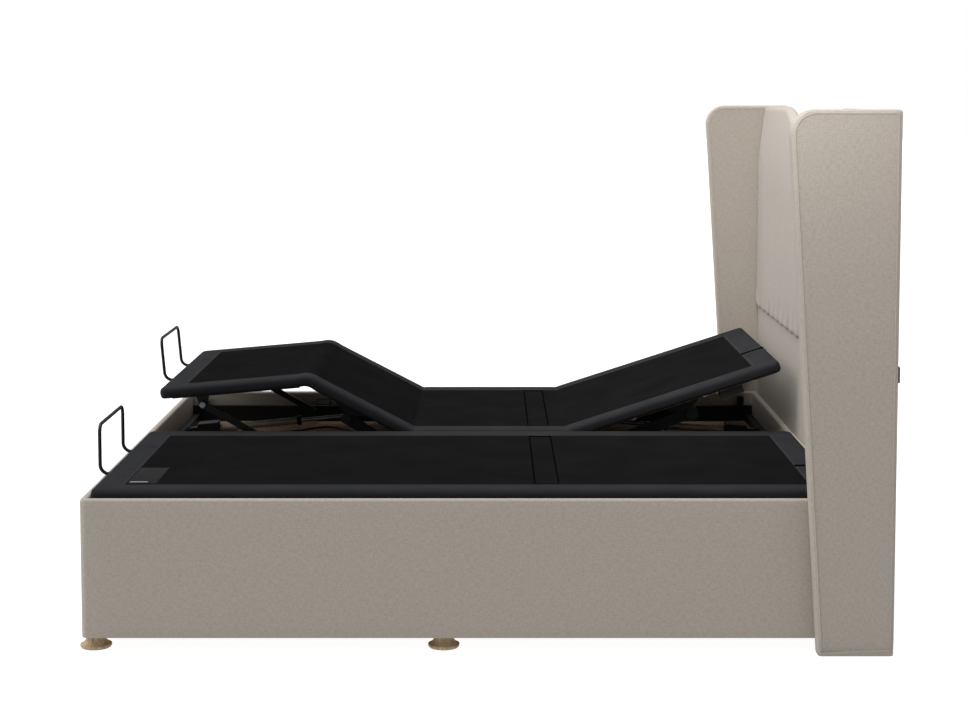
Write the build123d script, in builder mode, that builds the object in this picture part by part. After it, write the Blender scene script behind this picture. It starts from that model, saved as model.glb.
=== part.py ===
"""Twin adjustable bed base: two powered platforms inside an upholstered surround with a winged headboard.

Millimetres. +X runs towards the head, +Y from the near platform to the far one, +Z up. The origin is on
the floor, in the middle of the whole bed. The near platform lies flat and the far one is raised.
"""
from build123d import *
import os
from math import asin, atan2, cos, degrees, hypot, radians, sin, sqrt, tan

os.makedirs("parts", exist_ok=True)

# Surround
base_length = 2046
base_width = 1856
base_top = 410
wall = 20
wall_edge_radius = 7
foot_corner_radius = 18
floor_board_top = 309
floor_board_thickness = 12
beam = 60
glide_height = 36
glide_radius = 42
glide_stem_radius = 24
glide_side_inset = 50
glide_foot_inset = 30
glide_head_inset = 43
middle_beam_shift = -62

# Headboard
headboard_depth = 100
headboard_top = 1435
headboard_scoop = 48
headboard_shoulder = 570
headboard_frame_depth = 50
headboard_frame_drop = 15
pad_seam_height = 716
pad_bulge = 14
wing_thickness = 49
wing_reach = 199
wing_rake = 92
wing_corner_radius = 65
wing_edge_radius = 9
bumper_size = (5, 30, 41)
bumper_height = 725
bolt_radius = 4

# Platforms
platform_gap = 10
deck_clearance = 3
deck_thickness = 32
deck_top = 428
deck_corner_radius = 25
deck_edge_radius = 11
head_length = 702
seat_length = 476
thigh_length = 360
knuckle_radius = 4
hinge_pin_radius = 2
hinge_station = 90
hinge_leaf = 2
running_gap = 0.05
free_gap = 0.4

# Steelwork of one platform
rail_width = 25
rail_height = 54
cross_tube = 25
seat_tube_inset = 40
stop_pad_length = 22
stop_pad_inset = 40
frame_tube = 14
calf_tube_height = 9
frame_y = 330
calf_frame_y = 383
frame_margin = 30
frame_brace = 170
bracing_width = 40
bracing_thickness = 8
torque_tube_radius = 15
torque_stub_radius = 10
torque_tube_height = 27
lift_arm_y = 356
lift_arm_thickness = 12
lift_arm_radius = 18
glide_pad_width = 20
head_arm_length = 375
head_pad_radius = 20
head_tube_offset = 53
leg_arm_length = 210
leg_pad_radius = 16
leg_tube_offset = 40
cam_depth = 20

# Calf links
calf_pin_reach = 336
calf_pin_drop = 38
link_foot_behind_knee = 24
link_foot_height = 38
link_thickness = 10
link_half_width = 10
link_pin_radius = 6
link_bolt_radius = 5
link_slot_play = 6
link_slot_slack = 1.5
bracket_thickness = 6
bolt_head = 6

# Actuators
crank_thickness = 6
crank_radius = 8
crank_pin_radius = 4
eye_radius = 14
eye_play = 6
eye_width = 12
tube_radius = 12.5
tube_bore = 9
rod_radius = 7
rod_end_room = 16
collar_radius = 16
collar_length = 12
tail_width = 28
pivot_pin_radius = 5
ear_radius = 9
gearbox_length = 70
gearbox_width = 60
gearbox_height = 40
gearbox_start = 25
leg_crank = 70
leg_crank_headroom = 5
leg_actuator_y = 100
leg_pivot_inset = 45
leg_pivot_height = 22
leg_tube_length = 376
head_crank = 48
head_crank_angle = 52
head_actuator_y = 40
head_pivot_inset = 50
head_pivot_height = 29
head_tube_length = 300

# Retainer bar
bar_radius = 5
bar_half_span = 168
bar_standoff = 27
bar_rise = 127
bar_bend_radius = 26
bar_corner_radius = 34
bar_socket = 70
bar_depth_in_deck = 11

# Electrics
control_box_size = (150, 90, 38)
control_box_x = 60
control_box_y = -160
socket_box_size = (75, 60, 30)
socket_box_reach = 533
socket_box_rail_gap = 3
cable_radius = 3

# Motion: degrees of follower per degree of its section, and the raised platform's resting angles
knee_ratio = 1.18
link_ratio = 0.963
raised_head = 18
raised_thigh = 27.5

# Places that follow from the sizes
total_length = base_length + headboard_depth
foot_x = -total_length / 2
head_x = foot_x + base_length
rear_x = foot_x + total_length
wall_in = base_width / 2 - wall
deck_foot = foot_x + wall + deck_clearance
deck_head = head_x - wall - deck_clearance
deck_width = (base_width - platform_gap) / 2 - wall - deck_clearance
platform_y = (platform_gap + deck_width) / 2
head_hinge_x = deck_head - head_length
thigh_hinge_x = head_hinge_x - seat_length
knee_x = thigh_hinge_x - thigh_length
calf_length = knee_x - deck_foot
top_axis = deck_top - knuckle_radius
knee_axis = deck_top - deck_thickness + knuckle_radius
deck_under = deck_top - deck_thickness
under_drop = top_axis - deck_under
end_gap = knuckle_radius + free_gap
rail_top = floor_board_top + rail_height
rail_y = deck_width / 2 - rail_width / 2 - 1
torque_z = floor_board_top + torque_tube_height
torque_drop = top_axis - torque_z
leg_crank_angle = 180 - degrees(asin((deck_under - leg_crank_headroom - eye_radius - torque_z) / leg_crank))
socket_box_y = rail_width / 2 + socket_box_rail_gap + socket_box_size[1] / 2 - rail_y


def section_plane(x, y, z, turn):
    """Plane at a hinge axis, its X along the section, turned up towards the head by turn degrees."""
    c = cos(radians(turn))
    s = sin(radians(turn))
    return Plane(origin=(x, y, z), x_dir=(c, 0, s), z_dir=(-s, 0, c))


def turned(point, turn):
    """Point (x, z) turned by turn degrees, from +X towards +Z."""
    c = cos(radians(turn))
    s = sin(radians(turn))
    return (point[0] * c - point[1] * s, point[0] * s + point[1] * c)


def finish(piece, name):
    piece.part.label = name
    export_step(piece.part, f"parts/{name}.step")


def box(x0, x1, y0, y1, z0, z1, mode=Mode.ADD):
    """Box between limits, in the current plane of the part."""
    with Locations(((x0 + x1) / 2, (y0 + y1) / 2, (z0 + z1) / 2)):
        Box(abs(x1 - x0), abs(y1 - y0), abs(z1 - z0), mode=mode)


def rod(x, z, y0, y1, radius, mode=Mode.ADD):
    """Cylinder along Y between y0 and y1."""
    with Locations((x, (y0 + y1) / 2, z)):
        Cylinder(radius, abs(y1 - y0), rotation=(90, 0, 0), mode=mode)


def strap(ends, y0, y1, radius, mode=Mode.ADD):
    """Flat bar with round ends between two points (x, z), from y0 to y1."""
    (xa, za), (xb, zb) = ends
    length = hypot(xb - xa, zb - za)
    slope = degrees(atan2(zb - za, xb - xa))
    with Locations(Location(((xa + xb) / 2, (y0 + y1) / 2, (za + zb) / 2), (0, -slope, 0))):
        Box(length, abs(y1 - y0), 2 * radius, mode=mode)
    rod(xa, za, y0, y1, radius, mode)
    rod(xb, zb, y0, y1, radius, mode)


# ---------------------------------------------------------------- surround

def make_surround():
    for name, side in (("near_side_panel", -1), ("far_side_panel", 1)):
        with BuildPart() as panel:
            box(foot_x, head_x, side * wall_in, side * base_width / 2, glide_height, base_top)
            corner = panel.edges().filter_by(Axis.Z).group_by(Axis.X)[0].sort_by(Axis.Y)
            fillet(corner[0 if side < 0 else -1], foot_corner_radius)
            top = panel.faces().sort_by(Axis.Z)[-1]
            fillet(top.edges().filter_by(Axis.X), wall_edge_radius)
        finish(panel, name)
    for name, x0, x1 in (("foot_panel", foot_x, foot_x + wall), ("head_panel", head_x - wall, head_x)):
        with BuildPart() as panel:
            box(x0, x1, -wall_in, wall_in, glide_height, base_top)
            top = panel.faces().sort_by(Axis.Z)[-1]
            fillet(top.edges().filter_by(Axis.Y), wall_edge_radius)
            if name == "head_panel":
                for y, z in headboard_bolt_places():
                    with Locations(Location((head_x - wall / 2, y, z), (0, 90, 0))):
                        Cylinder(bolt_radius + running_gap, 2 * wall, mode=Mode.SUBTRACT)
        finish(panel, name)
    with BuildPart() as floor_board:
        box(foot_x + wall, head_x - wall, -wall_in, wall_in,
            floor_board_top - floor_board_thickness, floor_board_top)
    finish(floor_board, "floor_board")


def beam_places():
    return foot_x + wall + beam / 2, (foot_x + head_x) / 2 + middle_beam_shift, head_x - wall - beam / 2


def glide_places():
    middle = beam_places()[1]
    ys = (-base_width / 2 + glide_side_inset, 0, base_width / 2 - glide_side_inset)
    return [(x, y, 0) for x in (foot_x + glide_foot_inset, middle, head_x - glide_head_inset) for y in ys]


def make_undercarriage():
    with BuildPart() as timber_underframe:
        for x in beam_places():
            box(x - beam / 2, x + beam / 2, -wall_in, wall_in, glide_height, glide_height + beam)
            for y in (-wall_in + beam / 2, 0, wall_in - beam / 2):
                box(x - beam / 2, x + beam / 2, y - beam / 2, y + beam / 2,
                    glide_height + beam + free_gap, floor_board_top - floor_board_thickness)
    finish(timber_underframe, "timber_underframe")
    with BuildPart() as glide:
        with BuildSketch(Plane.XZ):
            with BuildLine():
                Polyline((glide_stem_radius, glide_height), (0, glide_height), (0, 0), (glide_radius - 3, 0),
                         (glide_radius, 4), (glide_radius, 9))
                ThreePointArc((glide_radius, 9), (glide_stem_radius + 6, 17), (glide_stem_radius, glide_height))
            make_face()
        revolve(axis=Axis.Z)
    with BuildPart() as glide_feet:
        with Locations(glide_places()):
            add(glide.part)
    finish(glide_feet, "glide_feet")


# --------------------------------------------------------------- headboard

def headboard_bolt_places():
    return [(y, z) for y in (-420, 420) for z in (150, 250)]


def headboard_outline(bottom):
    """Front view of the headboard above bottom: level shoulders and a shallow scoop between them."""
    half = base_width / 2
    scoop = half - headboard_shoulder
    ease = scoop * 0.45
    low = headboard_top - headboard_scoop
    with BuildLine() as outline:
        Polyline((-scoop - ease, headboard_top), (-half, headboard_top), (-half, bottom), (half, bottom),
                 (half, headboard_top), (scoop + ease, headboard_top))
        Bezier((scoop + ease, headboard_top), (scoop, headboard_top), (scoop, low), (scoop - ease, low))
        Line((scoop - ease, low), (ease - scoop, low))
        Bezier((ease - scoop, low), (-scoop, low), (-scoop, headboard_top), (-scoop - ease, headboard_top))
    make_face(outline.edges())


def make_headboard():
    front = head_x
    frame_front = rear_x - headboard_frame_depth
    with BuildPart() as headboard_frame:
        box(frame_front, rear_x, -base_width / 2, base_width / 2, 0,
            headboard_top - headboard_scoop - headboard_frame_drop)
        for y, z in headboard_bolt_places():
            with Locations(Location((frame_front, y, z), (0, 90, 0))):
                Cylinder(bolt_radius + running_gap, 2 * bolt_tip(), mode=Mode.SUBTRACT)
    finish(headboard_frame, "headboard_frame")

    with BuildPart() as lower_panel:
        box(front, frame_front, -base_width / 2, base_width / 2, 0, pad_seam_height)
        for y, z in headboard_bolt_places():
            with Locations(Location((front, y, z), (0, 90, 0))):
                Cylinder(bolt_radius + running_gap, 4 * wall * 2, mode=Mode.SUBTRACT)
    finish(lower_panel, "headboard_lower_panel")

    with BuildPart() as upper_pad:
        with BuildSketch(Plane(origin=(front - pad_bulge, 0, 0), x_dir=(0, 1, 0), z_dir=(1, 0, 0))):
            headboard_outline(pad_seam_height)
        extrude(amount=frame_front - front + pad_bulge)
        face = upper_pad.faces().filter_by(Axis.X).sort_by(Axis.X)[0]
        fillet(face.edges().filter_by(Axis.Y).sort_by(Axis.Z)[0], pad_bulge)
    finish(upper_pad, "headboard_pad")

    with BuildPart() as headboard_bolts:
        for y, z in headboard_bolt_places():
            with Locations(Location((head_x - wall, y, z), (0, 90, 0))):
                Cylinder(2 * bolt_radius, bolt_radius, align=(Align.CENTER, Align.CENTER, Align.MAX))
                Cylinder(bolt_radius, wall + frame_front - front + bolt_tip() - 1,
                         align=(Align.CENTER, Align.CENTER, Align.MIN))
    finish(headboard_bolts, "headboard_bolts")

    for name, side in (("near_wing", -1), ("far_wing", 1)):
        with BuildPart() as wing:
            with BuildSketch(Plane.XZ.offset(-side * base_width / 2)):
                with BuildLine():
                    Polyline((rear_x, 0), (rear_x, headboard_top),
                             (rear_x - wing_reach - wing_rake, headboard_top),
                             (rear_x - wing_reach, 0), close=True)
                make_face()
            extrude(amount=-side * wing_thickness)
            crown = wing.edges().filter_by(Axis.Y).group_by(Axis.Z)[-1].sort_by(Axis.X)[0]
            fillet(crown, wing_corner_radius)
            skin = wing.faces().filter_by(Axis.Y).sort_by(Axis.Y)[0 if side < 0 else -1]
            fillet(skin.edges(), wing_edge_radius)
        finish(wing, name)

    with BuildPart() as rear_bumpers:
        depth, width, height = bumper_size
        for side in (-1, 1):
            y = side * (base_width / 2 + wing_thickness / 2)
            box(rear_x, rear_x + depth, y - width / 2, y + width / 2, bumper_height, bumper_height + height)
    finish(rear_bumpers, "rear_bumpers")


def bolt_tip():
    return headboard_frame_depth * 0.6


# ---------------------------------------------------------------- hinges

def hinge_stations():
    return (-300, 0, 300)


def hinge_half(at, side, up, middle):
    """Half of the butt hinges on a section's end, their axis at x = at. side is +1 where the section lies
    towards +X of the axis, up is +1 where the leaves stand above it, and middle picks the middle knuckle."""
    third = hinge_station / 3
    tall = deck_thickness - knuckle_radius
    for y in hinge_stations():
        face = at + side * end_gap
        back = at + side * (end_gap - hinge_leaf)
        box(face, back, y - hinge_station / 2, y + hinge_station / 2, up * (knuckle_radius + free_gap), up * tall)
        for step in ((0,) if middle else (-1, 1)):
            low = y + (step - 0.5) * third + free_gap / 2
            high = y + (step + 0.5) * third - free_gap / 2
            rod(at, 0, low, high, knuckle_radius)
            box(face, back, low, high, 0, up * (knuckle_radius + 1))
            rod(at, 0, low, high, hinge_pin_radius + running_gap, Mode.SUBTRACT)


def hinge_pins(at):
    for y in hinge_stations():
        rod(at, 0, y - hinge_station / 2, y + hinge_station / 2, hinge_pin_radius)


# ---------------------------------------------------------------- decks

def deck(plane, x0, x1, z0, foot_end=False, head_end=False):
    """Padded section between x0 and x1, measured from its hinge axis, its underside at z0."""
    half = deck_width / 2
    with BuildPart(plane) as section:
        box(x0, x1, -half, half, z0, z0 + deck_thickness)
        ends = section.edges().filter_by(lambda e: abs((e % 0.5).dot(plane.z_dir)) > 0.99)
        along = ends.sort_by(lambda e: plane.to_local_coords(e.center()).X)
        corners = (along[:2] if foot_end else []) + (along[2:] if head_end else [])
        if corners:
            fillet(corners, deck_corner_radius)
        top = section.faces().sort_by(lambda f: plane.to_local_coords(f.center()).Z)[-1]
        keep = [e for e in top.edges() if not at_joint(plane, e, x0, x1, foot_end, head_end)]
        fillet(keep, deck_edge_radius)
        if foot_end:
            for y in (-bar_half_span, bar_half_span):
                with Locations(Location((x0 + bar_socket / 2, y, z0 + deck_thickness - bar_depth_in_deck),
                                        (0, 90, 0))):
                    Cylinder(bar_radius, bar_socket, mode=Mode.SUBTRACT)
    return section


def at_joint(plane, edge, x0, x1, foot_end, head_end):
    """True for the edges of a section's top that face the next section."""
    x = plane.to_local_coords(edge.center()).X
    return (abs(x - x0) < 1 and not foot_end) or (abs(x - x1) < 1 and not head_end)


# ------------------------------------------------------------ one platform

def knee_place(thigh):
    """Knee axis (x, z) when the thigh section stands at thigh degrees."""
    x, z = turned((-thigh_length, knee_axis - top_axis), -thigh)
    return thigh_hinge_x + x, top_axis + z


def calf_pin_place(thigh):
    x, z = turned((-calf_pin_reach, -calf_pin_drop), (knee_ratio - 1) * thigh)
    knee = knee_place(thigh)
    return knee[0] + x, knee[1] + z


def link_foot():
    return knee_x - link_foot_behind_knee, floor_board_top + link_foot_height


def link_length():
    reach = [hypot(calf_pin_place(t)[0] - link_foot()[0], calf_pin_place(t)[1] - link_foot()[1])
             for t in (0, raised_thigh)]
    return sum(reach) / 2


def make_base_frame(name, y):
    with BuildPart(Plane(origin=(0, y, 0))) as frame:
        for side in (-1, 1):
            box(deck_foot, deck_head, side * (rail_y - rail_width / 2), side * (rail_y + rail_width / 2),
                floor_board_top, rail_top)
        inner = rail_y - rail_width / 2
        for x in (deck_foot, deck_head - cross_tube):
            box(x, x + cross_tube, free_gap - inner, inner - free_gap,
                floor_board_top, floor_board_top + cross_tube)
        for x in (thigh_hinge_x + seat_tube_inset, head_hinge_x - seat_tube_inset):
            box(x - cross_tube / 2, x + cross_tube / 2, -rail_y, rail_y, rail_top + free_gap, deck_under)
        for x in (deck_foot + stop_pad_inset, deck_head - stop_pad_inset):
            for side in (-1, 1):
                box(x - stop_pad_length / 2, x + stop_pad_length / 2, side * (rail_y - rail_width / 2),
                    side * (rail_y + rail_width / 2), rail_top + free_gap, deck_under - free_gap)
        for x, z in ((head_hinge_x + head_tube_offset, torque_z), (thigh_hinge_x - leg_tube_offset, torque_z)):
            for side in (-1, 1):
                rod(x, z, side * (inner - 1), side * (inner + rail_width + 1),
                    torque_stub_radius + running_gap, Mode.SUBTRACT)
        for side in (-1, 1):
            face = link_y() - link_thickness / 2 - free_gap
            rod(*link_foot(), side * inner, side * face, link_pin_radius)
            rod(*link_foot(), side * face, side * (face - bolt_head), link_pin_radius + 4)
        for x, z, along, offset in (actuator_pivot("leg") + (1, leg_actuator_y),
                                    actuator_pivot("head") + (-1, head_actuator_y)):
            for side in (-1, 1):
                near = tail_width / 2 + free_gap
                tail = deck_foot + cross_tube if along > 0 else deck_head - cross_tube
                y0 = offset + side * near
                y1 = offset + side * (near + crank_thickness)
                box(tail, x, y0, y1, floor_board_top, z + ear_radius)
                rod(x, z, y0, y1, ear_radius)
            rod(x, z, offset - tail_width / 2 - free_gap - crank_thickness,
                offset + tail_width / 2 + free_gap + crank_thickness, pivot_pin_radius)
    finish(frame, name)


def link_y():
    return calf_frame_y + frame_tube / 2 + bracket_thickness + free_gap + link_thickness / 2


def actuator_pivot(which):
    if which == "leg":
        return deck_foot + leg_pivot_inset, floor_board_top + leg_pivot_height
    return deck_head - head_pivot_inset, floor_board_top + head_pivot_height


def crank_pin_place(which, turn):
    """Crank pin (x, z) when its section stands at turn degrees."""
    if which == "leg":
        x, z = turned((leg_crank, 0), leg_crank_angle - turn)
        return thigh_hinge_x - leg_tube_offset + x, torque_z + z
    x, z = turned((head_crank, 0), head_crank_angle + turn)
    return head_hinge_x + head_tube_offset + x, torque_z + z


def side_plane(section, y):
    """Plane of a section's side view at y, its X along the section and its Y up from it."""
    return Plane(origin=section.from_local_coords((0, y, 0)), x_dir=section.x_dir, z_dir=-section.y_dir)


def cam_plates(section, centre, radius):
    """Curved rub plates under a section. A lift that turns with its section carries its pads round an arc
    about the image of its own torque tube, so each plate is an arc about that centre."""
    reach = sqrt(radius ** 2 - (centre[1] + under_drop) ** 2)
    low = centre[1] - radius
    for side in (-1, 1):
        middle = side * (lift_arm_y + lift_arm_thickness / 2 + glide_pad_width / 2)
        with BuildSketch(side_plane(section, middle)) as profile:
            with Locations(centre):
                Circle(radius)
            with Locations((centre[0], (low - under_drop) / 2)):
                Rectangle(2 * reach, -under_drop - low, mode=Mode.INTERSECT)
        extrude(profile.sketch, amount=glide_pad_width / 2 - 1, both=True)


def make_lift(axis, y, name, arm, arm_angle, pad_radius, crank, crank_angle, offset):
    """Torque tube with its two lift arms, nylon glide pads and crank. Angles are at rest, from +X to +Z."""
    x, z = axis
    tip = turned((arm, 0), arm_angle)
    pin = turned((crank, 0), crank_angle)
    inner = rail_y - rail_width / 2
    with BuildPart(Plane(origin=(x, y, z))) as lift:
        for side in (-1, 1):
            face = side * (lift_arm_y + lift_arm_thickness / 2)
            strap(((0, 0), tip), side * (lift_arm_y - lift_arm_thickness / 2), face, lift_arm_radius)
            ear = offset + side * (eye_width / 2 + 1)
            strap(((0, 0), pin), ear, ear + side * crank_thickness, crank_radius)
            rod(0, 0, ear, ear + side * crank_thickness, lift_arm_radius)
            rod(*tip, face + side * free_gap, face + side * glide_pad_width, pad_radius)
        rod(0, 0, -inner, inner, torque_tube_radius + free_gap, Mode.SUBTRACT)
        rod(*pin, offset - eye_width / 2 - 2, offset + eye_width / 2 + 2, crank_pin_radius)
        rod(0, 0, free_gap - inner, inner - free_gap, torque_tube_radius)
        for side in (-1, 1):
            rod(0, 0, side * (inner - 1), side * (inner + rail_width - 4), torque_stub_radius)
    finish(lift, name)


def actuator_reach(which, turn):
    """Distance from an actuator's pivot to its crank pin when the section stands at turn degrees."""
    pivot = actuator_pivot(which)
    pin = crank_pin_place(which, turn)
    return hypot(pin[0] - pivot[0], pin[1] - pivot[1])


def make_actuator(which, y, prefix, turn):
    """Motor with its outer tube, and the rod that slides in it, aimed at the crank pin."""
    pivot = actuator_pivot(which)
    pin = crank_pin_place(which, turn)
    reach = actuator_reach(which, turn)
    along = Vector((pin[0] - pivot[0]) / reach, 0, (pin[1] - pivot[1]) / reach)
    across = Vector(-along.Z, 0, along.X) if along.X > 0 else Vector(along.Z, 0, -along.X)
    offset = leg_actuator_y if which == "leg" else head_actuator_y
    tube = leg_tube_length if which == "leg" else head_tube_length
    aim = Plane(origin=(pivot[0], y + offset, pivot[1]), x_dir=along, z_dir=across)
    with BuildPart(aim) as motor:
        box(0, gearbox_start, -tail_width / 2, tail_width / 2, -11, 11)
        rod(0, 0, -tail_width / 2, tail_width / 2, 11)
        box(gearbox_start, gearbox_start + gearbox_length, -gearbox_width / 2, gearbox_width / 2,
            -gearbox_height / 2 + 4, gearbox_height / 2 + 4)
        with Locations(Location((gearbox_start + gearbox_length, 0, 0), (0, 90, 0))):
            Cylinder(tube_radius, tube - gearbox_start - gearbox_length,
                     align=(Align.CENTER, Align.CENTER, Align.MIN))
        with Locations(Location((tube, 0, 0), (0, 90, 0))):
            Cylinder(collar_radius, collar_length, align=(Align.CENTER, Align.CENTER, Align.MAX))
        with Locations(Location((gearbox_start + gearbox_length + 10, 0, 0), (0, 90, 0))):
            Cylinder(tube_bore, tube - gearbox_start - gearbox_length - 10 - collar_length,
                     align=(Align.CENTER, Align.CENTER, Align.MIN), mode=Mode.SUBTRACT)
        with Locations(Location((tube, 0, 0), (0, 90, 0))):
            Cylinder(rod_radius + running_gap, 3 * collar_length, mode=Mode.SUBTRACT)
        rod(0, 0, -tail_width, tail_width, pivot_pin_radius + running_gap, Mode.SUBTRACT)
    finish(motor, f"{prefix}_{which}_motor")
    with BuildPart(aim) as piston:
        rear = gearbox_start + gearbox_length + rod_end_room + reach - actuator_reach(which, 0)
        with Locations(Location((rear, 0, 0), (0, 90, 0))):
            Cylinder(rod_radius, reach - eye_radius + 2 - rear, align=(Align.CENTER, Align.CENTER, Align.MIN))
        rod(reach, 0, -eye_width / 2, eye_width / 2, eye_radius)
        rod(reach, 0, -eye_width, eye_width, crank_pin_radius + eye_play, Mode.SUBTRACT)
    finish(piston, f"{prefix}_{which}_rod")


def head_arm_flat():
    """Angle of the head lift arm above the level when its section is flat, in degrees."""
    return degrees(asin((torque_drop - under_drop - cam_depth - head_pad_radius) / head_arm_length))


def leg_arm_flat():
    return degrees(asin((torque_drop - under_drop - cam_depth - leg_pad_radius) / leg_arm_length))


def side_members(x0, x1, y, top, height=frame_tube):
    for side in (-1, 1):
        box(x0, x1, side * (y - frame_tube / 2), side * (y + frame_tube / 2), top - height, top)


def braces(places, y, top):
    for x in places:
        end = y - frame_tube / 2 - free_gap
        box(x - bracing_width / 2, x + bracing_width / 2, -end, end, top - bracing_thickness, top)


def make_head_frame(prefix, head):
    with BuildPart(head) as head_frame:
        side_members(frame_margin, head_length - frame_margin, frame_y, -under_drop)
        braces((frame_brace, head_length - 2 * frame_margin), frame_y, -under_drop)
        cam_plates(head, turned((head_arm_length, 0), head_arm_flat()),
                   hypot(head_tube_offset, torque_drop) - head_pad_radius - free_gap)
        hinge_half(0, 1, -1, True)
    finish(head_frame, f"{prefix}_head_frame")


def make_thigh_frame(prefix, thigh):
    with BuildPart(thigh) as thigh_frame:
        side_members(-frame_margin, frame_margin - thigh_length, frame_y, -under_drop)
        braces((-frame_brace, 2 * frame_margin - thigh_length), frame_y, -under_drop)
        cam_plates(thigh, turned((-leg_arm_length, 0), -leg_arm_flat()),
                   hypot(leg_tube_offset, torque_drop) - leg_pad_radius - free_gap)
        hinge_half(0, -1, -1, True)
    finish(thigh_frame, f"{prefix}_thigh_frame")


def make_calf_frame(prefix, calf):
    top = -knuckle_radius
    drop = -calf_pin_drop
    with BuildPart(calf) as calf_frame:
        side_members(-frame_margin, frame_margin - calf_length, calf_frame_y, top, calf_tube_height)
        braces((-frame_brace, 2 * frame_margin - calf_length), calf_frame_y, top)
        inner = calf_frame_y + frame_tube / 2
        for side in (-1, 1):
            with BuildSketch(side_plane(calf, side * (inner + bracket_thickness / 2))):
                with BuildLine():
                    Polyline((-calf_pin_reach - 22, top), (-calf_pin_reach + 24, top),
                             (-calf_pin_reach + 12, drop), (-calf_pin_reach - 12, drop), close=True)
                make_face()
                with Locations((-calf_pin_reach, drop)):
                    Circle(12)
                    Circle(link_bolt_radius + running_gap, mode=Mode.SUBTRACT)
            extrude(amount=bracket_thickness / 2, both=True)
        hinge_half(0, -1, 1, True)
    finish(calf_frame, f"{prefix}_calf_frame")
    with BuildPart(calf) as link_bolts:
        for side in (-1, 1):
            outer = link_y() + link_thickness / 2 + free_gap
            rod(-calf_pin_reach, drop, side * (inner - bolt_head), side * inner, link_bolt_radius + 4)
            rod(-calf_pin_reach, drop, side * inner, side * outer, link_bolt_radius)
            rod(-calf_pin_reach, drop, side * outer, side * (outer + bolt_head), link_bolt_radius + 4.5)
    finish(link_bolts, f"{prefix}_link_bolts")


def make_hinges(prefix, seat, knee):
    """Fixed halves and pins of the two hinges on the seat section, and of the knee's on the thigh section."""
    with BuildPart(seat) as seat_hinges:
        for at, side in ((0, 1), (seat_length, -1)):
            hinge_half(at, side, -1, False)
            hinge_pins(at)
    finish(seat_hinges, f"{prefix}_seat_hinges")
    with BuildPart(knee) as knee_hinges:
        hinge_half(0, 1, 1, False)
        hinge_pins(0)
    finish(knee_hinges, f"{prefix}_knee_hinges")


def make_calf_links(prefix, y, thigh):
    foot = link_foot()
    pin = calf_pin_place(0)
    turn = degrees(atan2(pin[1] - foot[1], pin[0] - foot[0])) - link_ratio * thigh
    slot_end = turned((link_length() + link_slot_play, 0), turn)
    slot_start = turned((link_length() - link_slot_play, 0), turn)
    with BuildPart(Plane(origin=(foot[0], y, foot[1]))) as calf_links:
        for side in (-1, 1):
            y0 = side * (link_y() - link_thickness / 2)
            y1 = side * (link_y() + link_thickness / 2)
            strap(((0, 0), slot_end), y0, y1, link_half_width)
            strap((slot_start, slot_end), y0, y1, link_bolt_radius + link_slot_slack, Mode.SUBTRACT)
            rod(0, 0, y0, y1, link_pin_radius + running_gap, Mode.SUBTRACT)
    finish(calf_links, f"{prefix}_calf_links")


def make_retainer_bar(prefix, calf):
    level = deck_thickness - knuckle_radius - bar_depth_in_deck
    foot = -calf_length
    out = foot - bar_standoff
    top = level + bar_depth_in_deck + bar_rise
    with BuildPart() as retainer_bar:
        with BuildLine(calf) as path:
            FilletPolyline((foot + bar_socket, -bar_half_span, level), (out, -bar_half_span, level),
                           (out, -bar_half_span, top), (out, bar_half_span, top),
                           (out, bar_half_span, level), (foot + bar_socket, bar_half_span, level),
                           radius=bar_bend_radius)
        with BuildSketch(Plane(origin=path.line @ 0, z_dir=path.line % 0)):
            Circle(bar_radius)
        sweep(path=path.line)
    finish(retainer_bar, f"{prefix}_retainer_bar")


def cable(name, y, points):
    """Cable along hand-placed points, its corners eased as far as the runs beside them allow."""
    radii = []
    for before, here, after in zip(points, points[1:], points[2:]):
        a = Vector(*here) - Vector(*before)
        b = Vector(*after) - Vector(*here)
        radii.append(0.45 * min(a.length, b.length) / tan(radians(a.get_angle(b) / 2)))
    print(name, "bend radii", [round(r) for r in radii])
    with BuildPart() as cord:
        with BuildLine(Plane(origin=(0, y, 0))) as path:
            FilletPolyline(*points, radius=radii)
        with BuildSketch(Plane(origin=path.line @ 0, z_dir=path.line % 0)):
            Circle(cable_radius)
        sweep(path=path.line)
    finish(cord, name)


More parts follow.
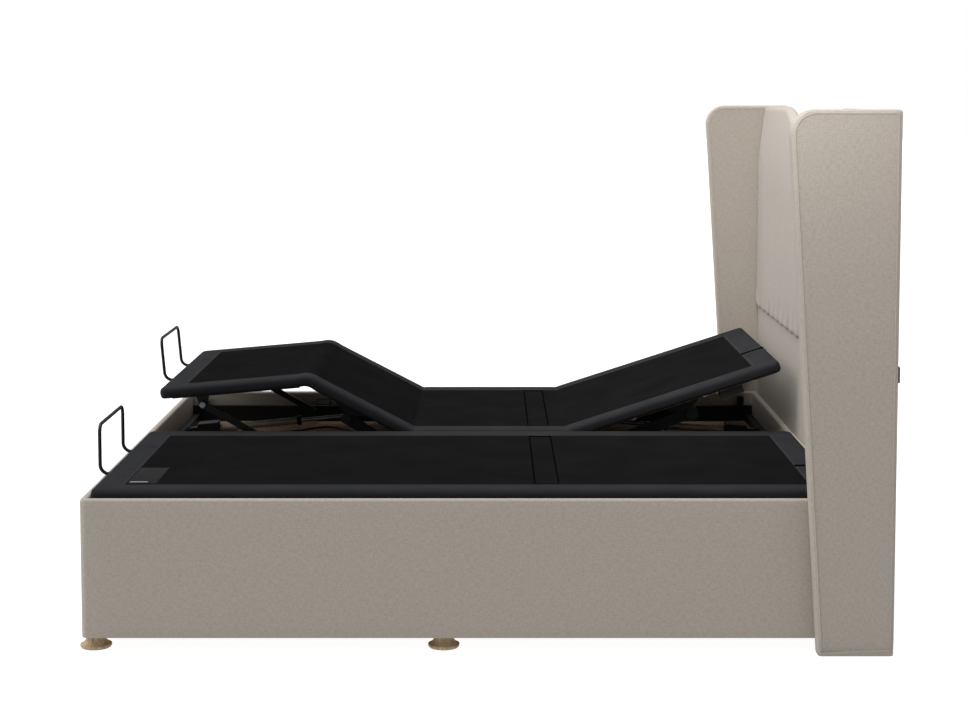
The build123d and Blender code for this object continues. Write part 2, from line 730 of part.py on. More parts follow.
def make_electrics(prefix, y, head):
    length, width, height = control_box_size
    with BuildPart(Plane(origin=(0, y, 0))) as control_box:
        box(control_box_x - length / 2, control_box_x + length / 2, control_box_y - width / 2,
            control_box_y + width / 2, floor_board_top, floor_board_top + height)
        fillet(control_box.edges().filter_by(Axis.Z), 6)
    finish(control_box, f"{prefix}_control_box")
    length, width, height = socket_box_size
    with BuildPart(head) as socket_box:
        box(socket_box_reach - length / 2, socket_box_reach + length / 2, socket_box_y - width / 2,
            socket_box_y + width / 2, -under_drop - height, -under_drop)
    finish(socket_box, f"{prefix}_socket_box")
    lie = floor_board_top + cable_radius + free_gap
    box_end = control_box_x - control_box_size[0] / 2
    motor_x = actuator_pivot("leg")[0] + gearbox_start + gearbox_length / 2
    motor_side = leg_actuator_y + gearbox_width / 2
    cable(f"{prefix}_leg_cable", y, [
        (box_end, control_box_y, lie), (box_end - 45, control_box_y, lie),
        (box_end - 100, control_box_y + 34, lie), (box_end - 150, control_box_y + 78, lie),
        (-220, -30, lie), (-275, 20, lie), (-330, 64, lie), (-385, 112, lie), (-430, 158, lie),
        (-468, 208, lie), (-512, 262, lie), (-560, 286, lie), (-606, 262, lie), (-640, 218, lie),
        (-690, 186, lie), (-745, 176, lie), (-800, 184, lie), (-850, 196, lie), (-905, 198, lie),
        (motor_x + 14, 190, lie + 4), (motor_x, 165, lie + 9), (motor_x, motor_side, lie + 9)])
    box_end = control_box_x + control_box_size[0] / 2
    motor_x = actuator_pivot("head")[0] - gearbox_start - gearbox_length / 2
    motor_side = head_actuator_y - gearbox_width / 2
    cable(f"{prefix}_head_cable", y, [
        (box_end, control_box_y, lie), (box_end + 50, control_box_y, lie),
        (box_end + 105, control_box_y + 2, lie), (box_end + 160, control_box_y + 14, lie),
        (350, -130, lie), (408, -114, lie), (466, -108, lie), (524, -92, lie), (580, -70, lie),
        (634, -60, lie), (690, -68, lie), (744, -62, lie), (motor_x - 34, -54, lie + 4),
        (motor_x, -32, lie + 14), (motor_x, motor_side, lie + 14)])


def make_platform(prefix, y, head_turn, thigh_turn):
    knee = knee_place(thigh_turn)
    head = section_plane(head_hinge_x, y, top_axis, head_turn)
    thigh = section_plane(thigh_hinge_x, y, top_axis, -thigh_turn)
    thigh_at_knee = section_plane(knee[0], y, knee[1], -thigh_turn)
    calf = section_plane(knee[0], y, knee[1], (knee_ratio - 1) * thigh_turn)
    seat = Plane(origin=(thigh_hinge_x, y, top_axis))

    finish(deck(seat, end_gap, seat_length - end_gap, -under_drop), f"{prefix}_seat_deck")
    finish(deck(head, end_gap, head_length, -under_drop, head_end=True), f"{prefix}_head_deck")
    finish(deck(thigh, end_gap - thigh_length, -end_gap, -under_drop), f"{prefix}_thigh_deck")
    finish(deck(calf, -calf_length, -end_gap, -knuckle_radius, foot_end=True), f"{prefix}_calf_deck")

    make_base_frame(f"{prefix}_base_frame", y)
    make_head_frame(prefix, head)
    make_thigh_frame(prefix, thigh)
    make_calf_frame(prefix, calf)
    make_hinges(prefix, seat, thigh_at_knee)

    make_lift((head_hinge_x + head_tube_offset, torque_z), y, f"{prefix}_head_lift", head_arm_length,
              head_arm_flat() + head_turn, head_pad_radius, head_crank, head_crank_angle + head_turn,
              head_actuator_y)
    make_lift((thigh_hinge_x - leg_tube_offset, torque_z), y, f"{prefix}_leg_lift", leg_arm_length,
              180 - leg_arm_flat() - thigh_turn, leg_pad_radius, leg_crank, leg_crank_angle - thigh_turn,
              leg_actuator_y)
    make_calf_links(prefix, y, thigh_turn)
    make_actuator("leg", y, prefix, thigh_turn)
    make_actuator("head", y, prefix, head_turn)
    make_retainer_bar(prefix, calf)
    make_electrics(prefix, y, head)


make_surround()
make_undercarriage()
make_headboard()
make_platform("near", -platform_y, 0, 0)
make_platform("far", platform_y, raised_head, raised_thigh)
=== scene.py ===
import functools
import math
import bpy
import bmesh
import numpy as np
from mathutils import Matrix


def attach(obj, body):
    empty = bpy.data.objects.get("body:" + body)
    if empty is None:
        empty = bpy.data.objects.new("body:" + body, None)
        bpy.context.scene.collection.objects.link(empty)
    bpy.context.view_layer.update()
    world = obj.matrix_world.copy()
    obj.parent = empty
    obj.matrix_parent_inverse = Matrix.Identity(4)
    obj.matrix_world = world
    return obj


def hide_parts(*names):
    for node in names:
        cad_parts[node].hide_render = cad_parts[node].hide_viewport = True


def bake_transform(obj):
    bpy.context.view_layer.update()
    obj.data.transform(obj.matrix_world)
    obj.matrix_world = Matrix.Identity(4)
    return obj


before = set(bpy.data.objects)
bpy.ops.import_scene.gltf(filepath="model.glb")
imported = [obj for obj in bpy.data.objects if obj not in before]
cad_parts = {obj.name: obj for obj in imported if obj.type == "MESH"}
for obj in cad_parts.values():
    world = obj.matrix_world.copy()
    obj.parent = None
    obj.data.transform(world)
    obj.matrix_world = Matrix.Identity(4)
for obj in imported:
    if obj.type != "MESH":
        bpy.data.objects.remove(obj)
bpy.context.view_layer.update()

mm = 0.001

view = {"place": (8.6, -5888.3, 1469.8), "pitch": 4.684, "lens": 70.99, "shift": (-0.005, -0.1093)}
studio = {
    "sky": 0.38,
    "lamps": [  # name, kind, where it stands, what it points at, strength, width in degrees
        ("keySun", "SUN", (-0.62, -0.10, 0.55), (0, 0, 0), 1.3, 34),
        ("topSun", "SUN", (-0.16, 0.08, 1.0), (0, 0, 0), 2.3, 50),
        ("wingLamp", "AREA", (0.35, -1.7, 2.5), (0.95, 0.93, 1.1), 9, 70),
    ],
    "lampSize": 1.1,
    "floorSeen": 0.95, "floorGlow": 0.6,
}


def addNode(tree, kind, inputs=None, output=0, stops=None, **settings):
    # inputs: a value, or the socket that feeds it, by name or number; stops: (position, hex) of a ramp
    node = tree.nodes.new("ShaderNode" + kind)
    for name, value in settings.items():
        setattr(node, name, value)
    feed(node, inputs or {})
    if stops:
        elements = node.color_ramp.elements
        while len(elements) < len(stops):
            elements.new(0.5)
        for element, (position, colour) in zip(elements, stops):
            element.position, element.color = position, linear(colour)
    return node if output is None else node.outputs[output]


def feed(node, inputs):
    for socket, value in inputs.items():
        if isinstance(value, bpy.types.NodeSocket):
            node.id_data.links.new(value, node.inputs[socket])
        else:
            node.inputs[socket].default_value = value


def linear(hexColour):
    # sRGB hex to linear RGBA
    channels = [int(hexColour[i:i + 2], 16) / 255 for i in (0, 2, 4)]
    return [c / 12.92 if c <= 0.04045 else ((c + 0.055) / 1.055) ** 2.4 for c in channels] + [1.0]


def setCamera():
    lens = bpy.data.cameras.new("camera")
    lens.lens, lens.sensor_width, lens.clip_end = view["lens"], 36, 200
    lens.shift_x, lens.shift_y = view["shift"]
    camera = bpy.data.objects.new("camera", lens)
    camera.location = [v * mm for v in view["place"]]
    camera.rotation_euler = (math.radians(90 - view["pitch"]), 0, 0)
    bpy.context.collection.objects.link(camera)
    bpy.context.scene.camera = camera
    bpy.context.scene.view_settings.view_transform = "Standard"


def lightStudio():
    world = bpy.data.worlds.new("studioSky")
    bpy.context.scene.world = world
    world.use_nodes = True
    tree = world.node_tree
    tree.nodes.clear()
    soft = addNode(tree, "Background", {"Color": (0.97, 0.985, 1, 1), "Strength": studio["sky"]})
    seen = addNode(tree, "Background", {"Color": (1, 1, 1, 1), "Strength": 1.0})
    both = addNode(tree, "MixShader", {0: addNode(tree, "LightPath"), 1: soft, 2: seen})
    addNode(tree, "OutputWorld", {"Surface": both}, None)
    for name, kind, place, aim, strength, width in studio["lamps"]:
        lampData = bpy.data.lights.new(name, kind)
        lampData.energy = strength
        if kind == "SUN":
            lampData.angle = math.radians(width)
        else:
            lampData.size, lampData.spread = studio["lampSize"], math.radians(width)
        lamp = bpy.data.objects.new(name, lampData)
        lamp.location = place
        away = np.subtract(place, aim)
        lamp.rotation_euler = (math.atan2(math.hypot(away[0], away[1]), away[2]), 0, math.atan2(away[0], -away[1]))
        lamp.visible_camera = False
        bpy.context.collection.objects.link(lamp)


setCamera()
lightStudio()
print("camera and lights set")


def newMaterial(name, constants):
    material = bpy.data.materials.new(name)
    material.use_nodes = True
    tree = material.node_tree
    tree.nodes.clear()
    shader = addNode(tree, "BsdfPrincipled", constants, None)
    addNode(tree, "OutputMaterial", {"Surface": shader.outputs[0]}, None)
    return material, shader, functools.partial(addNode, tree)


def upholsteryCloth():
    # Linen-look polyester hopsack, woven: matt, 1.1 mm threads drawn at 2.6 mm so that they show, short
    # slubs along both threads and a faint warm and cool fleck 5 mm across.
    material, shader, add = newMaterial("wovenHopsackLinen", {"Roughness": 0.94, "Specular IOR Level": 0.2,
                                                              "Sheen Weight": 0.1, "Sheen Roughness": 0.6})
    thread = 0.0026
    place = add("UVMap", uv_map="cloth")
    axes = add("SeparateXYZ", {0: place}, None)
    threads = [add("Math", {0: add("Math", {0: add("Math", {0: axes.outputs[i], 1: math.pi / thread},
                                                   operation="MULTIPLY")}, operation="SINE")}, operation="ABSOLUTE")
               for i in (0, 1)]
    check = add("TexChecker", {"Vector": place, "Color1": (1, 1, 1, 1), "Color2": (0, 0, 0, 1), "Scale": 1 / thread}, 1)
    weave = add("Mix", {0: check, 2: threads[0], 3: threads[1]}, data_type="FLOAT")
    slubs = [add("TexNoise", {"Vector": add("Mapping", {"Vector": place, "Scale": scale}), "Scale": 1, "Detail": 3})
             for scale in ((330, 75, 1), (75, 330, 1))]
    slub = add("Math", {0: slubs[0], 1: slubs[1]}, operation="ADD")
    fleck = add("TexNoise", {"Vector": place, "Scale": 190, "Detail": 3}, 1)
    tone = add("Mix", {0: 0.07, 6: linear("AAA197"), 7: fleck}, 2, data_type="RGBA", blend_type="OVERLAY")
    shade = add("ValToRGB", {"Fac": slub}, stops=((0.7, "9C9C9C"), (1.0, "BABABA"), (1.3, "D6D6D6")))
    tone = add("Mix", {0: 0.2, 6: tone, 7: shade}, 2, data_type="RGBA", blend_type="OVERLAY")
    dip = add("Math", {0: add("Math", {0: 1.0, 1: weave}, operation="SUBTRACT"), 1: 0.16}, operation="MULTIPLY")
    tone = add("Mix", {0: dip, 6: tone, 7: linear("6B635A")}, 2, data_type="RGBA")
    relief = add("Math", {0: slub, 1: 0.35, 2: weave}, operation="MULTIPLY_ADD")
    pull = add("Bump", {"Height": add("TexNoise", {"Vector": place, "Scale": 6, "Detail": 2}), "Strength": 0.25,
                        "Distance": 0.006})
    feed(shader, {"Base Color": tone,
                  "Normal": add("Bump", {"Height": relief, "Strength": 0.4, "Distance": 0.0006, "Normal": pull})})
    return material


def coverCloth():
    # Polyester twill border, woven: charcoal, matt, 0.5 mm ribs drawn at 2 mm. Its UV is the flat plan in
    # metres, so the mitres, the stitching, the head-end seam and the bar's slots follow the cover.
    material, shader, add = newMaterial("charcoalPolyesterTwill", {"Roughness": 0.85, "Specular IOR Level": 0.08})
    place = add("UVMap", uv_map="cloth")
    axes = add("SeparateXYZ", {0: place}, None)
    made = {"x": axes.outputs[0], "y": axes.outputs[1]}
    sizes = {name: value * mm for name, value in cover.items() if isinstance(value, (int, float))}
    slotLong, slotWide = (half * mm for half in cover["slotHalf"])
    chains = (  # name, what it starts from, then each operation and what it takes
        ("twill", "y", ("MULTIPLY", 0.6), ("ADD", "x"), ("MULTIPLY", math.pi / 0.002), ("SINE", 0), ("ABSOLUTE", 0)),
        ("overX", "x", ("SUBTRACT", sizes["middle"]), ("ABSOLUTE", 0), ("SUBTRACT", sizes["matHalfLength"])),
        ("side", "y", ("ABSOLUTE", 0)),
        ("overY", "side", ("SUBTRACT", sizes["matHalfWidth"])),
        ("away", "overX", ("MAXIMUM", "overY")),
        ("border", "away", ("GREATER_THAN", 0.0)),
        ("mitre", "overX", ("SUBTRACT", "overY"), ("ABSOLUTE", 0), ("LESS_THAN", sizes["mitre"]),
         ("MULTIPLY", "border")),
        ("headEnd", "x", ("GREATER_THAN", sizes["middle"] + sizes["matHalfLength"] + 0.0005)),
        ("headSeam", "y", ("SUBTRACT", sizes["headSeam"]), ("ABSOLUTE", 0), ("LESS_THAN", sizes["piping"]),
         ("MULTIPLY", "headEnd")),
        ("leg", "side", ("SUBTRACT", sizes["slotY"]), ("ABSOLUTE", 0), ("LESS_THAN", slotWide)),
        ("slot", "x", ("SUBTRACT", sizes["slotX"]), ("ABSOLUTE", 0), ("LESS_THAN", slotLong), ("MULTIPLY", "leg")),
        ("line", "headSeam", ("MAXIMUM", "slot")),
        ("dash", "x", ("ADD", "y"), ("MULTIPLY", 2 * math.pi / 0.006), ("SINE", 0), ("GREATER_THAN", -0.35)),
        ("stitch", "away", ("SUBTRACT", sizes["stitchIn"]), ("ABSOLUTE", 0), ("LESS_THAN", sizes["stitch"]),
         ("MULTIPLY", "dash")),
        ("dips", "mitre", ("MAXIMUM", "line"), ("MULTIPLY", 1.5)),
        ("sewn", "stitch", ("MULTIPLY", 1.5)),
        ("relief", "twill", ("MULTIPLY", 0.5), ("ADD", "sewn"), ("SUBTRACT", "dips")),
        ("mitreTone", "mitre", ("MULTIPLY", 0.6)),
        ("lineTone", "line", ("MULTIPLY", 0.95)),
        ("stitchTone", "stitch", ("MULTIPLY", 0.45)))
    for name, start, *steps in chains:
        made[name] = made[start]
        for operation, second in steps:
            made[name] = add("Math", {0: made[name], 1: made.get(second, second)}, operation=operation)
    cloud = add("TexNoise", {"Vector": place, "Scale": 9, "Detail": 3})
    speck = add("TexNoise", {"Vector": place, "Scale": 700, "Detail": 2})
    tone = add("ValToRGB", {"Fac": cloud}, stops=((0.3, "252628"), (0.7, "2B2B2E")))
    shade = add("ValToRGB", {"Fac": speck}, stops=((0.3, "5A5A5A"), (0.7, "A5A5A5")))
    tone = add("Mix", {0: 0.3, 6: tone, 7: shade}, 2, data_type="RGBA", blend_type="OVERLAY")
    for mask, thread in (("mitreTone", "151517"), ("lineTone", "060606"), ("stitchTone", "5C5C60")):
        tone = add("Mix", {0: made[mask], 6: tone, 7: linear(thread)}, 2, data_type="RGBA")
    feed(shader, {"Base Color": tone,
                  "Normal": add("Bump", {"Height": made["relief"], "Strength": 0.4, "Distance": 0.0005})})
    return material


def matCloth():
    # Non-slip spacer mesh of polyester, warp-knitted: near-black, dead matt, 1 mm cells drawn at 3 mm.
    material, shader, add = newMaterial("blackSpacerMesh", {"Roughness": 0.95, "Specular IOR Level": 0.0})
    place = add("UVMap", uv_map="cloth")
    cells = add("TexVoronoi", {"Vector": place, "Scale": 330, "Randomness": 0.25})
    hole = add("Math", {0: cells, 1: -1.6, 2: 1.0}, operation="MULTIPLY_ADD", use_clamp=True)
    cloud = add("TexNoise", {"Vector": place, "Scale": 6, "Detail": 4})
    tone = add("ValToRGB", {"Fac": cloud}, stops=((0.3, "151515"), (0.7, "1A1A1A")))
    deep = add("Math", {0: hole, 1: 0.4}, operation="MULTIPLY")
    tone = add("Mix", {0: deep, 6: tone, 7: linear("0B0B0C")}, 2, data_type="RGBA")
    feed(shader, {"Base Color": tone, "Normal": add("Bump", {"Height": hole, "Strength": 0.5, "Distance": 0.0008})})
    return material


def objectMaterial(name, constants, scale, detail, stops, rough=None, relief=0.2, distance=0.0003, stretch=(1, 1, 1),
                   kind="TexNoise"):
    # A finish on Object coordinates from one pattern: its colour ramp, its relief and its gloss
    material, shader, add = newMaterial(name, constants)
    place = add("Mapping", {"Vector": add("TexCoord", output=3), "Scale": stretch})
    pattern = add(kind, {"Vector": place, "Scale": scale, **({"Detail": detail} if kind == "TexNoise" else {})})
    cloud = add("TexNoise", {"Vector": add("TexCoord", output=3), "Scale": 16, "Detail": 4})
    even = add("Math", {0: pattern, 1: cloud}, operation="ADD")
    inputs = {"Base Color": add("ValToRGB", {"Fac": add("Math", {0: even, 1: 0.5}, operation="MULTIPLY")}, stops=stops),
              "Normal": add("Bump", {"Height": pattern, "Strength": relief, "Distance": distance})}
    if rough:
        inputs["Roughness"] = add("Math", {0: pattern, 1: rough[1], 2: rough[0]}, operation="MULTIPLY_ADD")
    feed(shader, inputs)
    return material, shader, add, inputs["Base Color"]


def finishes():
    # Spun-bonded polypropylene dust cover: black, matt, with the pressed dots of its bonding 2 mm apart.
    lining = objectMaterial("blackSpunbondLining", {"Roughness": 0.9, "Specular IOR Level": 0.1}, 420, 0,
                            ((0.2, "141516"), (0.8, "222325")), relief=0.4, distance=0.0006, kind="TexVoronoi")[0]
    # Mild steel tube, powder coated: black with a fine orange peel.
    steel = objectMaterial("powderCoatedSteel", {"Specular IOR Level": 0.3}, 600, 2, ((0.3, "060606"), (0.7, "0D0D0E")),
                           (0.4, 0.2), 0.3)[0]
    # Steel, bright zinc plated: bluish silver, turned lines 0.5 mm apart and a slight cloud.
    zinc = objectMaterial("zincPlatedSteel", {"Metallic": 1.0}, 60, 3, ((0.3, "85888E"), (0.7, "B2B4B8")), (0.2, 0.25),
                          0.15, 0.0002, (1, 30, 30))[0]
    # ABS, injection moulded with a spark-eroded grain 1 mm across: satin black, a little dust-lightened.
    plastic = objectMaterial("mouldedBlackAbs", {"IOR": 1.54, "Specular IOR Level": 0.4}, 900, 3,
                             ((0.3, "121213"), (0.7, "1C1C1E")), (0.4, 0.15), 0.3)[0]
    # PVC cable sheath, extruded: black, smooth and slightly greasy.
    sheath = objectMaterial("extrudedPvcSheath", {"IOR": 1.53}, 240, 3, ((0.3, "0E0E0F"), (0.7, "1A1A1C")), (0.36, 0.2),
                            0.1, 0.0002)[0]
    # Woven satin tape of polyester: smoother and glossier than the mat, ribs 1 mm apart drawn at 3 mm.
    satin = objectMaterial("blackSatinTape", {"Roughness": 0.6, "Sheen Weight": 0.0, "Specular IOR Level": 0.05}, 60, 2,
                           ((0.3, "191818"), (0.7, "222120")), None, 0.3, 0.0004, (1, 6, 1))[0]
    # The strap's binding: grosgrain of polyester, black and dead matt.
    binding = objectMaterial("blackGrosgrainBinding", {"Roughness": 0.95, "Specular IOR Level": 0.0}, 300, 2,
                             ((0.3, "050505"), (0.7, "090909")), None, 0.3, 0.0004, (1, 3, 1))[0]
    paleTape = objectMaterial("paleSatinTape", {"Roughness": 0.55, "Sheen Weight": 0.2}, 60, 2,
                              ((0.3, "77756F"), (0.7, "8D8B85")), None, 0.3, 0.0004, (1, 6, 1))[0]
    # Birch plywood, its sawn edge: pale veneers 1.5 mm thick drawn at 2 mm.
    plywood = objectMaterial("sawnBirchPlywood", {"Roughness": 0.75, "Specular IOR Level": 0.25}, 40, 3,
                             ((0.3, "7B6850"), (0.5, "A38E6D"), (0.7, "B7A281")), None, 0.3, 0.0005, (1, 1, 12))[0]
    return lining, steel, zinc, plastic, sheath, satin, binding, paleTape, plywood


def motorTube():
    # Aluminium tube, anodised a warm grey: satin, drawn lines along it. Gearbox and end collar are black nylon.
    material, shader, add, tone = objectMaterial("anodisedAluminium", {"Metallic": 0.45}, 8, 3,
                                                 ((0.3, "8E867C"), (0.7, "A69E93")), (0.36, 0.2), 0.15, 0.0002,
                                                 (1, 110, 110))
    along = add("SeparateXYZ", {0: add("TexCoord", output=3)})
    zones = []
    for middle, reach, operation in ((-0.0525, 0.8555, "GREATER_THAN"), (-0.016, 0.629, "LESS_THAN")):  # tails, mouths
        away = add("Math", {0: add("Math", {0: along, 1: middle}, operation="SUBTRACT")}, operation="ABSOLUTE")
        zones.append(add("Math", {0: away, 1: reach}, operation=operation))
    moulded = add("Math", {0: zones[0], 1: zones[1]}, operation="MAXIMUM")
    feed(shader, {"Base Color": add("Mix", {0: moulded, 6: tone, 7: linear("151516")}, 2, data_type="RGBA")})
    return material


def sawnTimber(name, early, late, grainAxis, rough, pitch=0.02):
    # Timber, sawn or turned: growth rings as bands across the board, pores drawn out along the grain.
    ringSpread = 0.16  # metres of board that the rings drift over
    material, shader, add = newMaterial(name, {"Roughness": rough, "Specular IOR Level": 0.3})
    place = add("TexCoord", output=3)
    drift, pores = [
        add("TexNoise", {"Vector": add("Mapping", {"Vector": place, "Scale": [
            alongGrain if i == grainAxis else acrossGrain for i in range(3)]}), "Scale": 1, "Detail": 4})
        for alongGrain, acrossGrain in ((1.6, 26.0), (30.0, 1100.0))]
    rings = add("Math", {0: add("Math", {0: drift, 1: ringSpread / pitch}, operation="MULTIPLY")}, operation="FRACT")
    tone = add("ValToRGB", {"Fac": rings}, stops=((0.0, early), (0.75, late), (1.0, early)))
    shade = add("ValToRGB", {"Fac": pores}, stops=((0.35, "6E6E6E"), (0.65, "B4B4B4")))
    tone = add("Mix", {0: 0.3, 6: tone, 7: shade}, 2, data_type="RGBA", blend_type="OVERLAY")
    feed(shader, {"Base Color": tone, "Normal": add("Bump", {"Height": pores, "Strength": 0.3, "Distance": 0.0004})})
    return material


def particleBoard():
    # Chipboard, pressed: flakes 2 to 6 mm of mixed browns under a dull sanded face.
    material, shader, add = newMaterial("pressedChipboard", {"Roughness": 0.82, "Specular IOR Level": 0.25})
    place = add("TexCoord", output=3)
    coarse, small = [add("TexVoronoi", {"Vector": place, "Scale": scale}, None) for scale in (170, 520)]
    tone = add("ValToRGB", {"Fac": coarse.outputs[1]}, stops=((0.2, "5C4733"), (0.5, "7A6148"), (0.8, "927658")))
    flake = add("ValToRGB", {"Fac": small.outputs[1]}, stops=((0.2, "4E3C2B"), (0.8, "A08563")))
    feed(shader, {"Base Color": add("Mix", {0: 0.45, 6: tone, 7: flake}, 2, data_type="RGBA"),
                  "Normal": add("Bump", {"Height": coarse.outputs[0], "Strength": 0.25, "Distance": 0.0006})})
    return material


def floorPaint():
    # Studio floor, painted matt white with the faintest cloudiness.
    material, shader, add = newMaterial("mattWhiteFloor", {"Roughness": 0.95, "Specular IOR Level": 0.0,
                                                           "Emission Color": (1, 1, 1, 1)})
    seen = add("Mix", {0: add("LightPath"), 2: studio["floorGlow"], 3: studio["floorSeen"]}, data_type="FLOAT")
    cloud = add("TexNoise", {"Vector": add("TexCoord", output=3), "Scale": 0.8, "Detail": 3})
    feed(shader, {"Base Color": add("ValToRGB", {"Fac": cloud}, stops=((0.3, "8E8E8D"), (0.7, "929291"))),
                  "Emission Strength": seen})
    return material


# One platform's cover, flat, in millimetres from the platform's centre line.
cover = {
    "foot": -1050, "head": 950, "halfWidth": 450, "top": 429.6, "under": 396, "cornerRadius": 25, "edgeRadius": 12,
    "liningInset": 30, "border": 80, "middle": -50, "matHalfLength": 920, "matHalfWidth": 370, "headSeam": -118,
    "headHinge": (248, 424), "thighHinge": (-228, 424), "kneeHinge": (-588, 400), "kneeRatio": 1.18,
    "kneeEase": 34, "valleyEase": 16, "seamDip": 1.6, "seamReach": 3.2, "headSeamDip": 1.3, "borderCrown": 1.0,
    # half widths of what is sewn or cut, and how far the stitches run outside the mat's seam
    "mitre": 0.9, "piping": 3, "stitchIn": 4.5, "stitch": 0.7, "slotX": -988, "slotY": 168, "slotHalf": (11, 2.8),
}
platforms = {"near": {"y": -455, "head": 0, "thigh": 0}, "far": {"y": 455, "head": 18, "thigh": 27.5}}

cloth = upholsteryCloth()
borderCloth = coverCloth()
matMesh = matCloth()
lining, steel, zinc, blackPlastic, sheath, satin, strapBinding, paleTape, plywood = finishes()
redwood = sawnTimber("sawnRedwood", "C9A675", "A67D4C", 1, 0.7)
beech = sawnTimber("turnedBeech", "CDB998", "A68D6C", 2, 0.5, pitch=0.012)
motor = motorTube()
chipboard = particleBoard()
whiteFloor = floorPaint()

nodeFinish = {  # word in a node's name and the material it gets; what has none of them is coated steel
    "motor": motor, "hinges": zinc, "bolts": zinc, "rod": zinc, "box": blackPlastic, "bumpers": blackPlastic,
    "floor_board": chipboard, "underframe": redwood, "headboard_frame": redwood, "glide": beech, "cable": sheath,
    "panel": cloth, "pad": cloth, "wing": cloth, "deck": borderCloth,
}


def finishNodes():
    for name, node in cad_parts.items():
        material = next((finish for word, finish in nodeFinish.items() if word in name), steel)
        if len(node.material_slots) == 0:
            node.data.materials.append(material)
        for slot in node.material_slots:
            slot.material = material


finishNodes()
print("CAD nodes finished")


def newPiece(name, points, faces, materials, body=None, uv=None, sharp=40, faceMaterial=None):
    mesh = bpy.data.meshes.new(name)
    mesh.from_pydata(np.asarray(points, float).tolist(), [], np.asarray(faces).tolist())
    if uv is not None:
        layer = mesh.uv_layers.new(name="cloth")
        layer.data.foreach_set("uv", np.asarray(uv, np.float32).ravel())
    for material in materials:
        mesh.materials.append(material)
    if faceMaterial is not None:
        mesh.polygons.foreach_set("material_index", np.asarray(faceMaterial, np.int32))
    mesh.polygons.foreach_set("use_smooth", np.ones(len(mesh.polygons), bool))
    shell = bmesh.new()
    shell.from_mesh(mesh)
    bmesh.ops.recalc_face_normals(shell, faces=shell.faces)
    shell.to_mesh(mesh)
    shell.free()
    if sharp:
        mesh.set_sharp_from_angle(angle=math.radians(sharp))
    piece = bpy.data.objects.new(name, mesh)
    bpy.context.collection.objects.link(piece)
    if body:
        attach(piece, body)
    return piece


# Quads of a grid of closed sections: rows joined in a ring, or capped by a ladder between a section's halves.
def skinFaces(rows, around, ring=False):
    i = np.arange(rows if ring else rows - 1)[:, None]
    j = np.arange(around)[None, :]
    nextI, nextJ = (i + 1) % rows, (j + 1) % around
    here, after = i * around, nextI * around
    quads = np.stack([here + j, here + nextJ, after + nextJ, after + j], -1).reshape(-1, 4)
    if not ring:
        k = np.arange(around // 2 - 1)
        ladder = np.stack([k, around - 1 - k, around - 2 - k, k + 1], -1)
        quads = np.concatenate([quads, ladder, ladder[:, ::-1] + (rows - 1) * around])
    return quads


# UV of those quads, in metres: along at each section and across round it, both carried past the join.
def skinUv(quads, rows, around, across, along, ring=False):
    row, column = quads // around, quads % around
    count = (rows if ring else rows - 1) * around
    u, v = np.asarray(along)[row].astype(float), np.asarray(across)[column].astype(float)
    wrapped = column[:count, 1] == 0
    v[:count][wrapped, 1] = v[:count][wrapped, 2] = across[around]
    if ring:
        wrapped = row[:count, 2] == 0
        u[:count][wrapped, 2] = u[:count][wrapped, 3] = along[rows]
    return np.stack([u, v], -1).reshape(-1, 2)


# Distance along a line of points, closed back to its start.
def runAlong(points):
    closed = np.vstack([points, points[:1]])
    return np.concatenate([[0], np.cumsum(np.linalg.norm(np.diff(closed, axis=0), axis=1))])


# A grid of closed sections, in millimetres, as one piece.
def skin(name, grid, along, materials, body, ring=False, sharp=50, faceMaterial=None):
    rows, around = grid.shape[:2]
    quads = skinFaces(rows, around, ring)
    uv = skinUv(quads, rows, around, runAlong(grid[rows // 2]) * mm, np.asarray(along) * mm, ring)
    points = grid.reshape(-1, 3)
    index = faceMaterial(points[quads].mean(1)) if faceMaterial else None
    return newPiece(name, points * mm, quads, materials, body, uv, sharp, index)


def arcStops(count):
    return np.linspace(0, math.pi / 2, count)


# The cables lie on the floor board: x, y from the platform's centre line and rise above where a cable lies.
cables = {
    "lie": 312.4, "diameter": 6, "sleeve": (18, 4.8, 3.3),
    "leg": {"length": 1184.1, "route": [
        (-15, -160, 0), (-60, -160, 0), (-115, -126, 0), (-165, -82, 0), (-220, -30, 0), (-275, 20, 0), (-330, 64, 0),
        (-385, 112, 0), (-430, 158, 0), (-468, 208, 0), (-512, 262, 0), (-560, 286, 0), (-606, 262, 0), (-640, 218, 0),
        (-690, 186, 0), (-745, 176, 0), (-800, 184, 0), (-850, 196, 0), (-905, 198, 0), (-931, 190, 4), (-945, 165, 9),
        (-945, 130, 9)]},
    "head": {"length": 762.4, "route": [
        (135, -160, 0), (185, -160, 0), (240, -158, 0), (295, -146, 0), (350, -130, 0), (408, -114, 0), (466, -108, 0),
        (524, -92, 0), (580, -70, 0), (634, -60, 0), (690, -68, 0), (744, -62, 0), (806, -54, 4), (840, -32, 14),
        (840, 10, 14)]},
}


# Rings along an axis from (distance, radius, hexagonal or not); a hexagon's radius is its half width across flats.
def turned(name, axis, centre, profile, material, body, lowest=None):
    sides = 24
    turn = np.linspace(0, 2 * math.pi, sides + 1)[:-1]
    hexagon = 1 / np.cos((turn + math.pi / 6) % (math.pi / 3) - math.pi / 6)
    grid = np.zeros((len(profile), sides, 3))
    for ring, (distance, radius, hexed) in zip(grid, profile):
        reach = radius * (hexagon if hexed else 1)
        ring[:, axis] = distance
        ring[:, (axis + 1) % 3], ring[:, (axis + 2) % 3] = reach * np.cos(turn), reach * np.sin(turn)
    grid += np.array(centre)
    if lowest is not None:
        grid[..., 2] = np.maximum(grid[..., 2], lowest)
    return skin(name, grid, np.cumsum([abs(p[1]) for p in profile]), [material], body, sharp=35)


